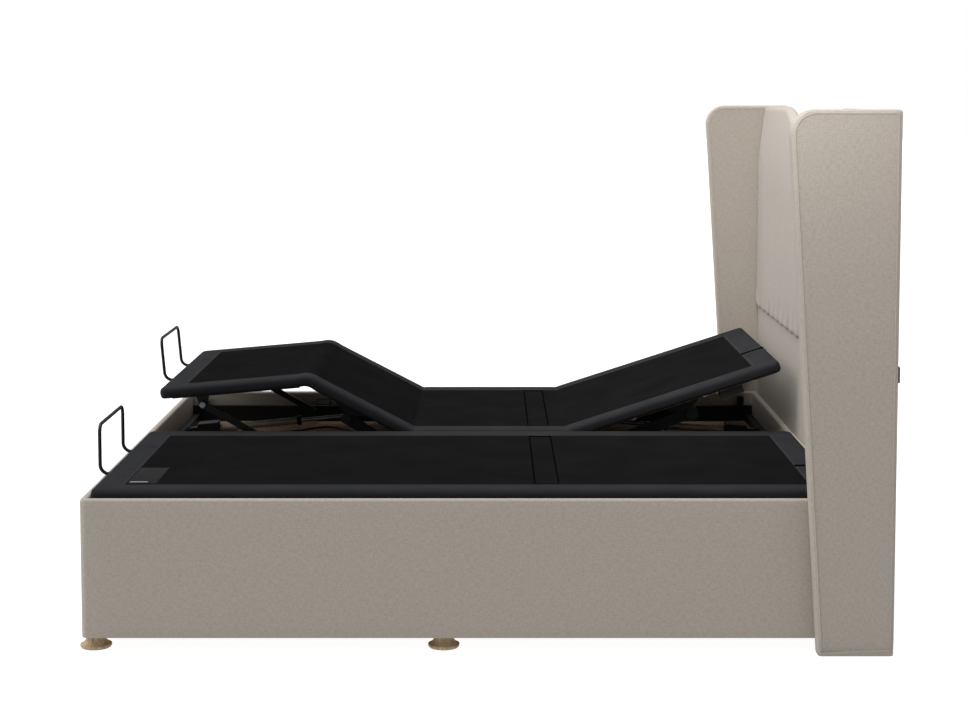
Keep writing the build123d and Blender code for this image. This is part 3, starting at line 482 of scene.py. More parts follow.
def makeCable(prefix, which):
    route = np.array(cables[which]["route"], float) + (0, platforms[prefix]["y"], cables["lie"])
    curve = bpy.data.curves.new(f"{prefix}{which.title()}Cable", "CURVE")
    curve.dimensions, curve.resolution_u = "3D", 12
    curve.bevel_depth, curve.bevel_resolution, curve.use_fill_caps = cables["diameter"] / 2 * mm, 4, True
    spline = curve.splines.new("NURBS")
    spline.points.add(len(route) - 1)
    spline.points.foreach_set("co", np.hstack([route * mm, np.ones((len(route), 1))]).ravel())
    spline.order_u = 3
    spline.use_endpoint_u = True
    curve.materials.append(sheath)
    piece = bpy.data.objects.new(curve.name, curve)
    bpy.context.collection.objects.link(piece)
    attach(piece, "base")
    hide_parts(f"{prefix}_{which}_cable")
    way = -1 if which == "leg" else 1
    length, thick, thin = cables["sleeve"]
    steps = [(0, thick), (2, thick), (2.6, thick - 0.6), (4, thick - 0.6), (4.6, thick - 0.2), (6.6, thick - 0.4),
             (7.2, thick - 1), (8.6, thick - 1), (9.2, thick - 0.8), (11.2, thick - 0.9), (12, thin + 0.3),
             (length, thin)]
    sleeve = turned(f"{prefix}{which.title()}CableSleeve", 0, route[0], [(way * d, r, False) for d, r in steps],
                    sheath, "base", lowest=cables["lie"] - cables["diameter"] / 2 - 0.2)


for prefix in platforms:
    makeCable(prefix, "leg")
    makeCable(prefix, "head")
print("cables laid")


# Positions along the platform: 25 mm apart, closer at the mat's seams and the hinges.
def flatPlanStops(start, end):
    stops = [np.linspace(start, end, int((end - start) / 25) + 1)]
    for seam in (cover["middle"] - cover["matHalfLength"], cover["middle"] + cover["matHalfLength"]):
        stops.append(seam + np.array([-7, -3, 0, 3, 7]))
    for hinge, reach in ((cover["headHinge"][0], 40), (cover["thighHinge"][0], 40), (cover["kneeHinge"][0], 60)):
        stops.append(hinge + np.arange(-reach, reach + 1, 4))
    stops = np.unique(np.round(np.concatenate(stops), 3))
    stops = stops[(stops >= start) & (stops <= end)]
    kept = [stops[0]]
    for stop in stops[1:-1]:
        if stop - kept[-1] > 2.5 and end - stop > 2.5:
            kept.append(stop)
    return np.array(kept + [stops[-1]])


# Height above the cover's plane: a groove along the mat's seam and the head-end seam, a low crown on the border.
def matRelief(x, y):
    away = np.maximum(np.abs(x - cover["middle"]) - cover["matHalfLength"], np.abs(y) - cover["matHalfWidth"])
    groove = -cover["seamDip"] * np.exp(-(away / cover["seamReach"]) ** 2)
    headSeam = -cover["headSeamDip"] * np.exp(-((y - cover["headSeam"]) / cover["piping"]) ** 2)
    headSeam = headSeam * (x > cover["middle"] + cover["matHalfLength"])
    crown = cover["borderCrown"] * np.sin(np.pi * np.clip(away / cover["border"], 0, 1))
    return groove + crown + headSeam


# Half a section: a quarter arc, the inner stops and a quarter arc, as distance across and rise.
def coverSection(width, edge, inner):
    arc = arcStops(5)
    left = -(width - edge) - edge * np.cos(arc)
    y = np.concatenate([left, inner * (width - edge) / (cover["halfWidth"] - cover["edgeRadius"]), -left[::-1]])
    rise = np.concatenate([edge * np.sin(arc), np.full(len(inner), edge), (edge * np.sin(arc))[::-1]])
    return y, rise


# Flat cover to its raised shape: each hinge turns what lies beyond it, eased over a short reach.
def bendFlat(x, z, headTurn, thighTurn):
    def ease(distance, reach):
        t = np.clip(distance / (2 * reach) + 0.5, 0, 1)
        return t * t * (3 - 2 * t)

    def turn(px, pz, centre, angle):
        dx, dz, cos, sin = px - centre[0], pz - centre[1], np.cos(angle), np.sin(angle)
        return centre[0] + dx * cos - dz * sin, centre[1] + dx * sin + dz * cos

    knee = math.radians(thighTurn * cover["kneeRatio"]) * ease(cover["kneeHinge"][0] - x, cover["kneeEase"])
    bentX, bentZ = turn(x, z, cover["kneeHinge"], knee)
    thigh = -math.radians(thighTurn) * ease(cover["thighHinge"][0] - x, cover["valleyEase"])
    bentX, bentZ = turn(bentX, bentZ, cover["thighHinge"], thigh)
    head = math.radians(headTurn) * ease(x - cover["headHinge"][0], cover["valleyEase"])
    return turn(bentX, bentZ, cover["headHinge"], head)


# Points given on a flat platform, in millimetres, moved to where that platform stands.
def onPlatform(prefix, points):
    points = np.array(points, float)
    platform = platforms[prefix]
    x, z = points[..., 0].copy(), points[..., 2].copy()
    points[..., 0], points[..., 2] = bendFlat(x, z, platform["head"], platform["thigh"])
    points[..., 1] += platform["y"]
    return points


# One stretch of a platform's cover as sections across it, its ends rounded where it isn't carried on.
def makeCover(prefix, part, start, end, openStart, openEnd):
    stops = flatPlanStops(start, end)
    edge, corner = cover["edgeRadius"], cover["cornerRadius"]
    arc = arcStops(7)
    if not openStart:
        stops = np.concatenate([start + corner - corner * np.cos(arc), stops[stops > start + corner + 2]])
    if not openEnd:
        stops = np.concatenate([stops[stops < end - corner - 2], end - corner + corner * np.cos(arc[::-1])])
    matSeam = cover["matHalfWidth"] + np.array([-7, -3, 0, 3, 7, 18, 30, 50, 56])
    headSeam = cover["headSeam"] + np.arange(-6, 7, 3)
    inner = np.unique(np.concatenate([-matSeam, np.linspace(-340, 340, 29), matSeam, headSeam]))
    inner = inner[np.concatenate([[True], np.diff(inner) > 1.2])]
    sections = []
    high, low = cover["top"], cover["under"]
    for x in stops:
        gap = min(1e9 if openStart else x - start, 1e9 if openEnd else end - x)
        narrow = corner - math.sqrt(max(0, corner ** 2 - max(0, corner - gap) ** 2))
        thin = edge - math.sqrt(max(0, edge ** 2 - max(0, edge - gap) ** 2))
        y, rise = coverSection(cover["halfWidth"] - narrow, edge, inner)
        relief = matRelief(x, y) * np.clip(gap / 20, 0, 1)
        over = np.maximum(high - edge - thin + rise + relief, (high + low) / 2 + 0.5)
        under = np.minimum(low + edge + thin - rise, (high + low) / 2 - 0.5)
        top, bottom = (np.stack([np.full(len(y), x), y, z], -1) for z in (over, under))
        sections.append(np.concatenate([top, bottom[::-1]]))
    flat = np.array(sections)
    rows, around = flat.shape[:2]
    half = around // 2
    quads = skinFaces(rows, around)
    across = runAlong(flat[rows // 2])
    uv = skinUv(quads, rows, around, (across - across[half - 1] / 2) * mm, stops * mm)
    centre = flat.reshape(-1, 3)[quads].mean(1)
    below = (quads % around >= half).sum(1) >= 3
    side = np.abs(centre[:, 1])
    onMat = (np.abs(centre[:, 0] - cover["middle"]) < cover["matHalfLength"]) & (side < cover["matHalfWidth"])
    underside = below & (side < cover["halfWidth"] - cover["liningInset"])
    piece = newPiece(f"{prefix}{part}Cover", onPlatform(prefix, flat).reshape(-1, 3) * mm, quads,
                     [borderCloth, matMesh, lining], uv=uv, sharp=50,
                     faceMaterial=np.where(onMat & ~below, 1, np.where(underside, 2, 0)))
    return piece


def makeCovers(prefix):
    midThigh, midSeat = -400, 20
    calf = makeCover(prefix, "Calf", cover["foot"], midThigh, False, True)
    seat = makeCover(prefix, "Seat", midThigh, midSeat, True, True)
    head = makeCover(prefix, "Head", midSeat, cover["head"], True, False)
    for piece, first, second, hinge, reach in (
            (calf, f"{prefix}_calf", f"{prefix}_thigh", "kneeHinge", "kneeEase"),
            (seat, f"{prefix}_thigh", "base", "thighHinge", "valleyEase"),
            (head, "base", f"{prefix}_head", "headHinge", "valleyEase")):
        x, z = cover[hinge]
        start, end = onPlatform(prefix, [(x - cover[reach], 0, z), (x + cover[reach], 0, z)]) * mm
        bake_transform(piece)
    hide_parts(f"{prefix}_calf_deck", f"{prefix}_thigh_deck")
    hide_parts(f"{prefix}_seat_deck")
    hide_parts(f"{prefix}_head_deck")


# Rounded rectangles across X, drawn in along a quarter circle at both ends.
def roundedBlock(name, low, high, radius, materials, body, prefix=None, faceMaterial=None, rows=2):
    low, high = np.array(low, float), np.array(high, float)
    arc = arcStops(4)
    draw, step = radius * (1 - np.sin(arc)), radius * (1 - np.cos(arc))
    middle = np.linspace(low[0] + radius, high[0] - radius, rows + 1)[1:-1]
    xs = np.concatenate([low[0] + step, middle, high[0] - step[::-1]])
    draws = np.concatenate([draw, np.zeros(len(middle)), draw[::-1]])
    centre, half = (low + high) / 2, (high - low) / 2
    sections = []
    for x, inset in zip(xs, draws):
        r = max(radius - inset, 0.05)
        corners = [np.stack([np.full(4, x), centre[1] + sy * (half[1] - inset - r) + r * np.cos(a),
                             centre[2] + sz * (half[2] - inset - r) + r * np.sin(a)], -1)
                   for sy, sz, a in ((1, -1, arc - math.pi / 2), (1, 1, arc), (-1, 1, arc + math.pi / 2),
                                     (-1, -1, arc + math.pi))]
        sections.append(np.concatenate(corners))
    grid = np.roll(np.array(sections), -4, axis=1)
    if prefix:
        grid = onPlatform(prefix, grid)
    return skin(name, grid, xs, materials, body, sharp=40, faceMaterial=faceMaterial)


fittings = {
    "strap": {"x": (130, 199), "halfWidth": 364, "rise": 1.3, "under": -1.2, "sunk": 0.4, "edge": 4.4, "farBand": 28},
    "label": ((-966, -366, 429.2), (-886, -150, 430.8)), "stripe": ((-960, -352, 430.2), (-912, -343, 431.3)),
    "boardEdge": {"x": (262, 932), "y": (398, 423), "z": (391.8, 395.7), "sawn": 421.5},
    "pins": ((-924, 362, 412.8, "calf"), (-612, 347, 406.4, "calf_links")),  # x, z, reach to each side, body
    "clips": {"x": (455, 690, 842), "length": 16, "y": (-429.5, -418), "z": (388.6, 396.4)},
    "piping": {"x": (870, 947), "half": 2.4, "z": (427.5, 433.6)},
    "tab": {"x": (943, 952.3), "half": 7, "z": (404, 424)},
    "plate": {"x": (-611, -561), "z": (363, 383), "line": 1.4},
    "boltHead": {"washer": 8.8, "flats": 6.2, "height": 4.6},
}


# An outlined strap across the mat: a flat ribbon of the mat's mesh, bound in black tape that is wider at one end.
def makeStrap(prefix):
    s = fittings["strap"]
    level = cover["top"] - s["sunk"]
    x0, x1 = s["x"]
    bound, rise, middle = s["edge"], s["rise"], (x0 + x1) / 2
    profile = np.array([(x0, 0), (x0 + 0.3, rise), (x0 + bound, rise + 0.5), (x0 + bound + 0.4, rise * 0.55),
                        (middle - 10, rise * 0.6), (middle + 10, rise * 0.6), (x1 - bound - 0.4, rise * 0.55),
                        (x1 - bound, rise + 0.5), (x1 - 0.3, rise), (x1, 0)])
    under = np.array([(x, s["under"]) for x, _ in profile[::-1]])
    loop = np.concatenate([profile, under])
    ys = np.concatenate([[-s["halfWidth"], -s["halfWidth"] + bound], np.linspace(-350, 350, 29),
                         [s["halfWidth"] - bound, s["halfWidth"], s["halfWidth"] - s["farBand"]]])
    ys = np.sort(ys)
    grid = np.zeros((len(ys), len(loop), 3))
    grid[..., 0], grid[..., 1], grid[..., 2] = loop[None, :, 0], ys[:, None], level + loop[None, :, 1]
    grid[[0, -1], :, 2] = np.minimum(grid[[0, -1], :, 2], level + 0.2)
    grid = onPlatform(prefix, grid)

    def binding(centre):
        x, y = centre[:, 0], centre[:, 1] - platforms[prefix]["y"]
        ends = (y < bound - s["halfWidth"]) | (y > s["halfWidth"] - s["farBand"])
        return np.where((x < x0 + bound) | (x > x1 - bound) | ends, 1, 0)

    skin(f"{prefix}MatStrap", grid, ys, [matMesh, strapBinding], "base", sharp=60, faceMaterial=binding)


# A washer and a hexagon head on a pin, its round side on the link and its chamfer outwards.
def makeBoltHead(name, centre, way, body):
    h = fittings["boltHead"]
    washer, flats, height = h["washer"], h["flats"], h["height"]
    profile = [(0, 0.05, False), (0, washer - 0.3, False), (0.3, washer, False), (1.2, washer, False),
               (1.5, washer - 0.3, False), (1.5, flats * 0.98, True), (height - 0.7, flats, True),
               (height, flats * 0.9, True), (height, flats * 0.7, False), (height - 0.3, 0.05, False)]
    turned(name, 1, centre, [(way * d, r, six) for d, r, six in profile], zinc, body)


def makeFittings(prefix):
    f = fittings
    makeStrap(prefix)
    pins = [(x, z, side, body) for x, z, reach, body in f["pins"] for side in (-reach, reach)]
    for index, (x, z, side, body) in enumerate(pins):
        centre = onPlatform(prefix, (x, side, z)) if body == "calf" else np.array((x, side + platforms[prefix]["y"], z))
        makeBoltHead(f"{prefix}PinHead{index}", centre, math.copysign(1, side), f"{prefix}_{body}")

    def rawEdge(centre):
        flatY = np.abs(centre[:, 1] - platforms[prefix]["y"])
        return np.where(flatY > f["boardEdge"]["sawn"], 0, 1)

    (x0, x1), (y0, y1), (z0, z1) = (f["boardEdge"][axis] for axis in "xyz")
    for label, low, high in (("Near", -y1, -y0), ("Far", y0, y1)):
        roundedBlock(f"{prefix}HeadBoard{label}", (x0, low, z0), (x1, high, z1), 0.8, [plywood, lining],
                     f"{prefix}_head", prefix, rawEdge, rows=12)
    (y0, y1), (z0, z1) = f["clips"]["y"], f["clips"]["z"]
    for index, x in enumerate(f["clips"]["x"]):
        roundedBlock(f"{prefix}BoardClip{index}", (x, y0, z0), (x + f["clips"]["length"], y1, z1), 0.8, [zinc],
                     f"{prefix}_head", prefix)
    seam = cover["headSeam"]
    for label, key, material, slotName, rows in (("Piping", "piping", strapBinding, "deck_cover", 8),
                                                 ("Tab", "tab", blackPlastic, "black_plastic", 2)):
        (x0, x1), half, (z0, z1) = f[key]["x"], f[key]["half"], f[key]["z"]
        roundedBlock(f"{prefix}HeadEnd{label}", (x0, seam - half, z0), (x1, seam + half, z1), 2, [material],
                     f"{prefix}_head", prefix, rows=rows)


def makeLabel():
    # A plain woven label at the mat's corner on the near platform, with one plain pale stripe.
    for name, key, radius, tape, rows in (("nearMatLabel", "label", 0.7, satin, 6),
                                          ("nearMatLabelStripe", "stripe", 0.5, paleTape, 2)):
        low, high = fittings[key]
        roundedBlock(name, low, high, radius, [tape], "near_calf", "near", rows=rows)


for prefix in platforms:
    makeCovers(prefix)
    makeFittings(prefix)
makeLabel()
print("platform covers and fittings made")


surround = {"foot": -1073, "head": 973, "half": 928, "wall": 20, "bottom": 36, "top": 410, "footRadius": 18,
            "headRadius": 3, "topRadius": 8, "bottomRadius": 3}


# Closed plan loop with rounded corners, anticlockwise: points and outward directions.
def roundedLoop(x0, x1, half, radii, step):
    points, outward = [], []
    corners = [((x1, -half), radii[1], -90), ((x1, half), radii[1], 0), ((x0, half), radii[0], 90),
               ((x0, -half), radii[0], 180)]
    for (cx, cy), radius, startAngle in corners:
        centre = np.array([cx + (-radius if cx == x1 else radius), cy + (radius if cy < 0 else -radius)])
        angles = np.radians(np.linspace(startAngle, startAngle + 90, 9))
        directions = np.stack([np.cos(angles), np.sin(angles)], -1)
        points.append(centre + radius * directions)
        outward.append(directions)
    runs, sides = [], []
    for index in range(4):
        last, following = points[index][-1], points[(index + 1) % 4][0]
        count = max(2, int(np.linalg.norm(following - last) / step))
        t = np.linspace(0, 1, count + 1)[1:-1, None]
        runs += [points[index], last + t * (following - last)]
        sides += [outward[index], np.repeat(outward[index][-1:], count - 1, 0)]
    return np.concatenate(runs), np.concatenate(sides)


# The wall's closed section carried round the plan: outside face up, over the rounded top and down inside.
def makeSurround():
    s = surround
    plan, outward = roundedLoop(s["foot"], s["head"], s["half"], (s["footRadius"], s["headRadius"]), 40)
    arc = arcStops(5)
    sin, cos = np.sin(arc), np.cos(arc)
    top, bottom, wall = s["topRadius"], s["bottomRadius"], s["wall"]
    up = np.linspace(s["bottom"] + bottom, s["top"] - top, 15)
    down = np.linspace(s["top"] - top, s["bottom"] + bottom, 8)[1:]
    parts = [(np.zeros(15), up), (-top + top * cos[1:], s["top"] - top + top * sin[1:]),
             (-wall + top - top * sin, s["top"] - top + top * cos), (np.full(7, -wall), down),
             (-wall + bottom - bottom * cos[1:], s["bottom"] + bottom - bottom * sin[1:]),
             (-bottom + bottom * sin[:-1], s["bottom"] + bottom - bottom * cos[:-1])]
    section = np.concatenate([np.stack(part, -1) for part in parts])
    grid = np.zeros((len(plan), len(section), 3))
    grid[..., :2] = plan[:, None, :] + outward[:, None, :] * section[None, :, :1]
    grid[..., 2] = section[None, :, 1]
    piece = skin("surroundUpholstery", grid, runAlong(plan), [cloth], "base", ring=True, sharp=40)
    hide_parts("near_side_panel", "far_side_panel", "foot_panel", "head_panel")


makeSurround()
print("surround made")

headboard = {
    "front": 959, "panelFront": 973, "back": 1023, "rear": 1073, "half": 928, "seam": 716, "top": 1435,
    "frameTop": 1372, "frameEdge": 9, "lap": 2.2, "margin": 48,
    "scoop": 48, "scoopOuter": 519, "scoopMid": 358, "scoopInner": 197, "edge": 16, "corner": 46, "backEdge": 14,
    "taper": (1170, 28), "rows": 62, "sideMargin": 30,
    "channels": 9, "channelDepth": 2.6, "channelHalf": 10, "channelTop": 1340, "channelFade": 260,
    "tuck": 8, "tuckHalf": 14, "tuckReach": 50, "tuckLean": 0.30,
    "swell": 5.0, "steps": 20,  # how far the cloth may stand out between its held edges
    "cloth": {"quality": 6, "mass": 0.35, "tension_stiffness": 18, "compression_stiffness": 18, "shear_stiffness": 8,
              "bending_stiffness": 0.6, "vertex_group_mass": "held", "use_pressure": True,
              "uniform_pressure_force": 4.0, "shrink_min": -0.015},
}


# Top edge: level shoulders, then down an S curve (a cubic with level ends) to the flat of the scoop.
def headboardTop(y):
    t = np.linspace(0, 1, 41)
    h = headboard
    across = h["scoopOuter"] * (1 - t) ** 3 + 3 * h["scoopMid"] * t * (1 - t) + h["scoopInner"] * t ** 3
    return h["top"] - np.interp(-np.abs(y), -across, h["scoop"] * (3 * t ** 2 - 2 * t ** 3))


# Closed sections across Y: up the front between two rounded edges, over the top and down the back. Both ends of
# the front draw back round an arc, its lower corners round up by corner and its back's top edge by backEdge.
def panelSections(ys, low, front, back, edge, top, rows, corner=0, backEdge=1):
    arc = arcStops(5)
    sections = []
    for y in ys:
        high = float(top(y)) if callable(top) else top
        gap = headboard["half"] - 1 - abs(y)
        face = front + edge - math.sqrt(max(0, edge ** 2 - max(0, edge - gap) ** 2))
        start = low + (corner - math.sqrt(max(0, corner ** 2 - max(0, corner - gap) ** 2)) if corner else 0)
        fronts = np.concatenate([
            np.stack([face + edge - edge * np.sin(arc), start + edge - edge * np.cos(arc)], -1)[:-1],
            np.stack([np.full(rows, face), np.linspace(start + edge, high - edge, rows)], -1),
            np.stack([face + edge - edge * np.cos(arc), high - edge + edge * np.sin(arc)], -1)[1:]])
        down = np.linspace(high - backEdge, start, len(fronts) - 4)
        backs = np.stack([np.concatenate([back - backEdge + backEdge * np.sin(arc[:-1]), np.full(len(down), back)]),
                          np.concatenate([high - backEdge + backEdge * np.cos(arc[:-1]), down])], -1)
        loop = np.concatenate([fronts, backs])
        sections.append(np.stack([loop[:, 0], np.full(len(loop), y), loop[:, 1]], -1))
    return np.array(sections)


# Cloth under pressure: fabric held at the back, the seam and the ends, left slack between and then evened up.
def swellPad(piece, held, cap, shape):
    count = len(piece.data.vertices)
    rest = np.zeros(count * 3)
    piece.data.vertices.foreach_get("co", rest)
    rest = rest.reshape(-1, 3)
    group = piece.vertex_groups.new(name="held")
    for weight in np.unique(held[held > 0]):
        group.add(np.nonzero(held == weight)[0].tolist(), float(weight), "REPLACE")
    modifier = piece.modifiers.new("cloth", "CLOTH")
    settings = modifier.settings
    for name, value in headboard["cloth"].items():
        setattr(settings, name, value)
    settings.effector_weights.gravity = 0
    modifier.collision_settings.use_collision = False
    modifier.point_cache.frame_start, modifier.point_cache.frame_end = 1, headboard["steps"]
    for step in range(1, headboard["steps"] + 1):
        bpy.context.scene.frame_set(step)
    moved = np.zeros(count * 3)
    piece.evaluated_get(bpy.context.evaluated_depsgraph_get()).data.vertices.foreach_get("co", moved)
    moved = moved.reshape(-1, 3) - rest
    piece.modifiers.remove(modifier)
    bpy.context.scene.frame_set(1)
    moved *= np.minimum(1, cap / np.maximum(np.linalg.norm(moved, axis=1, keepdims=True), 1e-9))
    # evened up the front, so that the channels can be pressed in after it
    moved = moved.reshape(shape)
    front, weights = shape[1] // 2, np.hanning(15)[1:-1]
    spread = np.pad(moved[:, :front], ((0, 0), (6, 6), (0, 0)), mode="edge")
    moved[:, 3:front] = sum(w * spread[:, i:i + front] for i, w in enumerate(weights / weights.sum()))[:, 3:]
    return rest + moved.reshape(-1, 3)


def makeHeadboardPad():
    h = headboard
    inset = h["half"] - 1
    ends = inset - np.array([3, 8, 14, 22])
    pitch = 2 * h["half"] / h["channels"]
    stitched = (np.arange(-h["half"] + pitch / 2, h["half"], pitch / 2)[:, None] + np.array([-9, 0, 9])).ravel()
    ys = np.unique(np.concatenate([np.linspace(-inset, inset, 111), stitched, -ends, ends]))
    ys = ys[np.concatenate([[True], np.diff(ys) > 2.5])]
    grid = panelSections(ys, low=h["seam"] + 1, front=h["front"] + 3, back=h["back"], edge=h["edge"], top=headboardTop,
                         rows=h["rows"], corner=h["corner"], backEdge=h["backEdge"])
    around = grid.shape[1]
    noise = np.random.default_rng(7)
    y, z = grid[..., 1], grid[..., 2]
    front = np.broadcast_to(np.arange(around)[None, :] < around // 2, y.shape)
    upward = z - h["seam"]
    fade = np.clip((h["channelTop"] - z) / h["channelFade"], 0, 1) * np.clip(upward / 30, 0, 1)
    start, back = h["taper"]
    grid[..., 0] += np.where(front, back * np.clip((z - start) / (h["top"] - start), 0, 1) ** 2, 0)
    fromChannel = (y + h["half"] + pitch / 2) % pitch - pitch / 2
    inside = np.abs(y) < h["half"] - h["sideMargin"]
    grid[..., 0] += np.where(front, noise.normal(0, 0.1, y.shape), 0)
    piece = skin("headboardPad", grid, ys, [cloth], None, sharp=0)
    held = np.where(front & (np.arange(around)[None, :] >= 3), 0.0, 1.0)
    held[:2] = held[-2:] = 1
    points = grid.reshape(-1, 3) * mm
    points = swellPad(piece, held.ravel(), h["swell"] * mm, grid.shape)
    # the tucks run up from the seam at every channel and half way between, each a little slanted
    lean = (y + h["half"] + h["tuckLean"] * upward + pitch / 4) % (pitch / 2) - pitch / 4
    depth = h["tuck"] * np.exp(-(lean / h["tuckHalf"]) ** 2) * np.exp(-(upward / h["tuckReach"]) ** 2)
    depth *= np.where(front & inside, 1, 0)
    depth += h["channelDepth"] * np.exp(-(fromChannel / h["channelHalf"]) ** 2) * fade * np.where(front & inside, 1, 0)
    points[:, 0] += depth.ravel() * mm
    points[:, 0] = np.maximum(points[:, 0], (h["front"] - 5) * mm)
    piece.data.vertices.foreach_set("co", points.ravel())
    piece.data.update()
    smooth = piece.modifiers.new("smooth", "SUBSURF")
    smooth.levels = smooth.render_levels = 1
    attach(piece, "base")
    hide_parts("headboard_pad")


# The flat panel below the seam, its front rounded at the sides and carried up behind the pad.
def makeLowerPanel():
    h = headboard
    inset = h["half"] - 1
    ys = np.unique(np.concatenate([np.linspace(-inset, inset, 80), [-inset + 2, -inset + 5, inset - 5, inset - 2]]))
    grid = panelSections(ys, low=2, front=h["panelFront"] + 0.6, back=h["back"] - 1, edge=6,
                         top=h["seam"] + h["corner"] - 2, rows=24)
    piece = skin("headboardLowerPanel", grid, ys, [cloth], "base")
    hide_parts("headboard_lower_panel")


# The back: cloth turned over the frame's top and edges, and a dust cover stapled inside that margin.
def makeHeadboardBack():
    h = headboard
    inset, margin, rear, high, edge = h["half"] - 1, h["margin"], h["rear"], h["frameTop"], h["frameEdge"]
    ys = np.unique(np.concatenate([np.linspace(-inset, inset, 90), [s * (inset - d) for s in (-1, 1) for d in
                                                                    (2, 6, margin - 1, margin + 1, margin + 5)]]))
    arc = arcStops(5)
    heights = np.concatenate([np.linspace(high - edge, high - margin - 6, 6),
                              np.linspace(high - margin - 8, margin + 8, 34), [margin + 4, margin, margin - 4, 2]])
    sections = []
    for y in ys:
        draw = edge - math.sqrt(max(0, edge ** 2 - max(0, edge - (inset - abs(y))) ** 2))
        over = np.clip((margin + 2 - inset + np.abs(y)) / 4, 0, 1)
        lap = np.clip((margin + 4 - (high - heights)) / 5, 0, 1) + np.clip((margin + 2 - heights) / 5, 0, 1)
        flat = rear - draw - h["lap"] + h["lap"] * np.clip(lap + over, 0, 1)
        turn = np.stack([rear - draw - edge + edge * np.sin(arc), high - edge + edge * np.cos(arc)], -1)[:-1]
        backs = np.concatenate([turn, np.stack([flat, heights], -1)])
        fronts = np.stack([np.full(len(backs), h["back"] + 0.5), np.linspace(2, high, len(backs))], -1)
        loop = np.concatenate([fronts, backs])
        sections.append(np.stack([loop[:, 0], np.full(len(loop), y), loop[:, 1]], -1))

    def backing(centre):
        inner = (np.abs(centre[:, 1]) < inset - margin - 1) & (centre[:, 2] > margin + 2)
        return np.where(inner & (centre[:, 0] > rear - 20) & (centre[:, 2] < high - margin - 5), 1, 0)

    piece = skin("headboardBack", np.array(sections), ys, [cloth, lining], "base", faceMaterial=backing)
    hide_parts("headboard_frame")


# A round cord carried along a closed path in a plane of one Y.
def tubeAlong(name, path, radius, material):
    sides = 8
    path = np.asarray(path, float)
    along = np.roll(path, -1, 0) - np.roll(path, 1, 0)
    along /= np.linalg.norm(along, axis=1, keepdims=True)
    outward = np.cross(along, (0.0, 1.0, 0.0))
    angle = np.linspace(0, 2 * math.pi, sides + 1)[:-1] + 0.01
    grid = path[:, None] + radius * (np.cos(angle)[None, :, None] * outward[:, None]
                                     + np.sin(angle)[None, :, None] * np.array([0.0, 1.0, 0.0]))
    return skin(name, grid, runAlong(path), [material], "base", ring=True, sharp=0)


wings = {"inner": 928, "thickness": 49, "rear": 1073, "frontLow": 874, "frontHigh": 782, "top": 1435, "crownRadius": 65,
         "edge": 9, "welt": 2.6, "innerWelt": 2.0, "weltInset": 10, "bottom": 1}


# Front edge: a straight rake, and a quarter circle into the top.
def wingFront(z, inset=0):
    w = wings
    rake = (w["frontHigh"] - w["frontLow"]) / w["top"]
    level = w["top"] - w["crownRadius"]
    centre, radius = w["frontLow"] + rake * level + w["crownRadius"], w["crownRadius"] - inset
    bow = centre - np.sqrt(np.maximum(0, radius ** 2 - np.maximum(0, z - level) ** 2))
    return np.where(z > level, bow, w["frontLow"] + rake * z + inset)


# The wing's outline brought in by inset, at one Y.
def weltPath(inset, y):
    w = wings
    level = w["top"] - w["crownRadius"]
    heights = np.concatenate([np.linspace(w["bottom"] + inset, level, 30),
                              level + (w["crownRadius"] - inset) * np.sin(np.linspace(0.06, math.pi / 2, 14))])
    front = wingFront(heights, inset)
    turn = arcStops(5)[1:]
    rear, high = w["rear"] - inset, w["top"] - inset
    runs = [(front, heights), (np.linspace(front[-1], rear - 6, 8)[1:], np.full(7, high)),
            (rear - 6 + 6 * np.sin(turn), high - 6 + 6 * np.cos(turn)),
            (np.full(20, rear), np.linspace(high - 12, w["bottom"] + inset + 6, 20))]
    return np.concatenate([np.stack([x, np.full(len(x), y), z], -1) for x, z in runs])


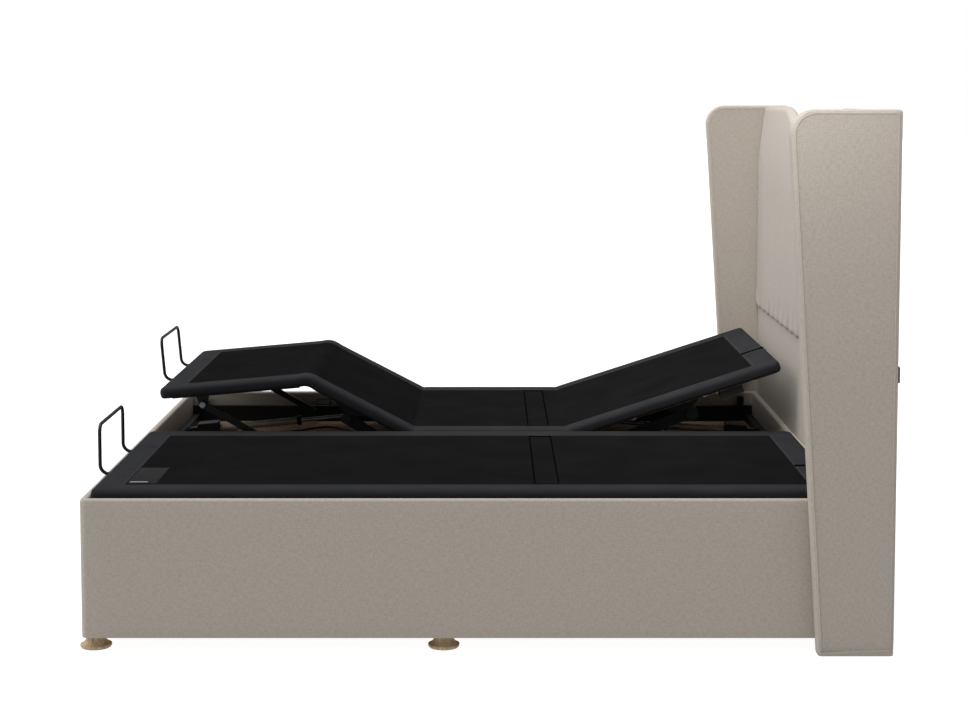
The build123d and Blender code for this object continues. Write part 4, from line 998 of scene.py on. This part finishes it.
# Sections across the height, each a rounded rectangle from the raked front to the rear, thinned at both ends.
def makeWing(prefix, side):
    w = wings
    edge, soft, count = w["edge"], 5, 14
    arc = arcStops(6)
    sin, cos = np.sin(arc), np.cos(arc)
    level = w["top"] - w["crownRadius"]
    zs = np.unique(np.round(np.concatenate([
        w["bottom"] + edge * 0.5 * (1 - cos[:4]), np.linspace(12, level, 46)[1:],
        level + w["crownRadius"] * np.sin(np.linspace(0.08, 1.28, 12)),
        w["top"] - edge + edge * np.sin(np.linspace(0.3, math.pi / 2, 6))]), 2))
    sections = []
    for z in zs:
        thin = edge - math.sqrt(max(0, edge ** 2 - max(0, edge - w["top"] + z) ** 2))
        thin = max(thin, 4 - math.sqrt(max(0, 16 - max(0, 4 - z + w["bottom"]) ** 2)))
        x0 = float(wingFront(np.array(min(z, w["top"] - 0.6)))) + thin * 0.4
        x1 = w["rear"] - thin
        low, high = w["inner"] + min(thin, 6), w["inner"] + w["thickness"] - thin
        parts = [(x0 + edge - edge * cos[:-1], high - edge + edge * sin[:-1]),
                 (np.linspace(x0 + edge, x1 - edge, count), np.full(count, high)),
                 (x1 - edge + edge * sin[1:], high - edge + edge * cos[1:]),
                 ((x1 - soft + soft * sin[1:])[::-1], (low + soft - soft * cos[1:])[::-1]),
                 (np.linspace(x1 - soft, x0 + soft, count), np.full(count, low)),
                 ((x0 + soft - soft * cos[:-1])[::-1], (low + soft - soft * sin[:-1])[::-1])]
        loop = np.concatenate([np.stack(part, -1) for part in parts])
        sections.append(np.stack([loop[:, 0], side * loop[:, 1], np.full(len(loop), z)], -1))
    piece = skin(f"{prefix}WingUpholstery", np.array(sections), zs, [cloth], "base", sharp=55)
    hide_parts(f"{prefix}_wing")
    for label, y, radius in (("Outer", w["inner"] + w["thickness"] - 0.9, w["welt"]),
                             ("Inner", w["inner"] + 1.0, w["innerWelt"])):
        tubeAlong(f"{prefix}Wing{label}Welt", weltPath(w["weltInset"], side * y), radius, cloth)


# A thin moulded frame fixed to the far wall's inner face.
def makeWallPlate():
    plate = fittings["plate"]
    (x0, x1), (z0, z1) = plate["x"], plate["z"]
    level = surround["half"] - surround["wall"] - 0.8
    loop, _ = roundedLoop(x0, x1, (z1 - z0) / 2, (2, 2), 8)
    path = np.stack([loop[:, 0], np.full(len(loop), level), loop[:, 1] + (z0 + z1) / 2], -1)
    tubeAlong("wallPlateFrame", path, plate["line"], blackPlastic)


makeHeadboardPad()
makeLowerPanel()
makeHeadboardBack()
makeWing("near", -1)
makeWing("far", 1)
makeWallPlate()
print("headboard and wings made")


# A round sheet of floor, 120 m across, from rings and spokes.
def makeFloor():
    spokes, radii = 64, (2.0, 6.0, 15.0, 60.0)
    angle = np.linspace(0, 2 * math.pi, spokes + 1)[:-1]
    ring = np.stack([np.outer(radii, np.cos(angle)), np.outer(radii, np.sin(angle)), np.zeros((4, spokes))], -1)
    r, a = np.arange(3)[:, None] * spokes, np.arange(spokes)[None, :]
    after = (a + 1) % spokes
    quads = np.stack([r + a, r + spokes + a, r + spokes + after, r + after], -1).reshape(-1, 4)
    mesh = bpy.data.meshes.new("studioFloor")
    mesh.from_pydata(ring.reshape(-1, 3).tolist(), [], quads.tolist() + [np.arange(spokes).tolist()])
    mesh.materials.append(whiteFloor)
    floor = bpy.data.objects.new("studioFloor", mesh)
    bpy.context.collection.objects.link(floor)


makeFloor()
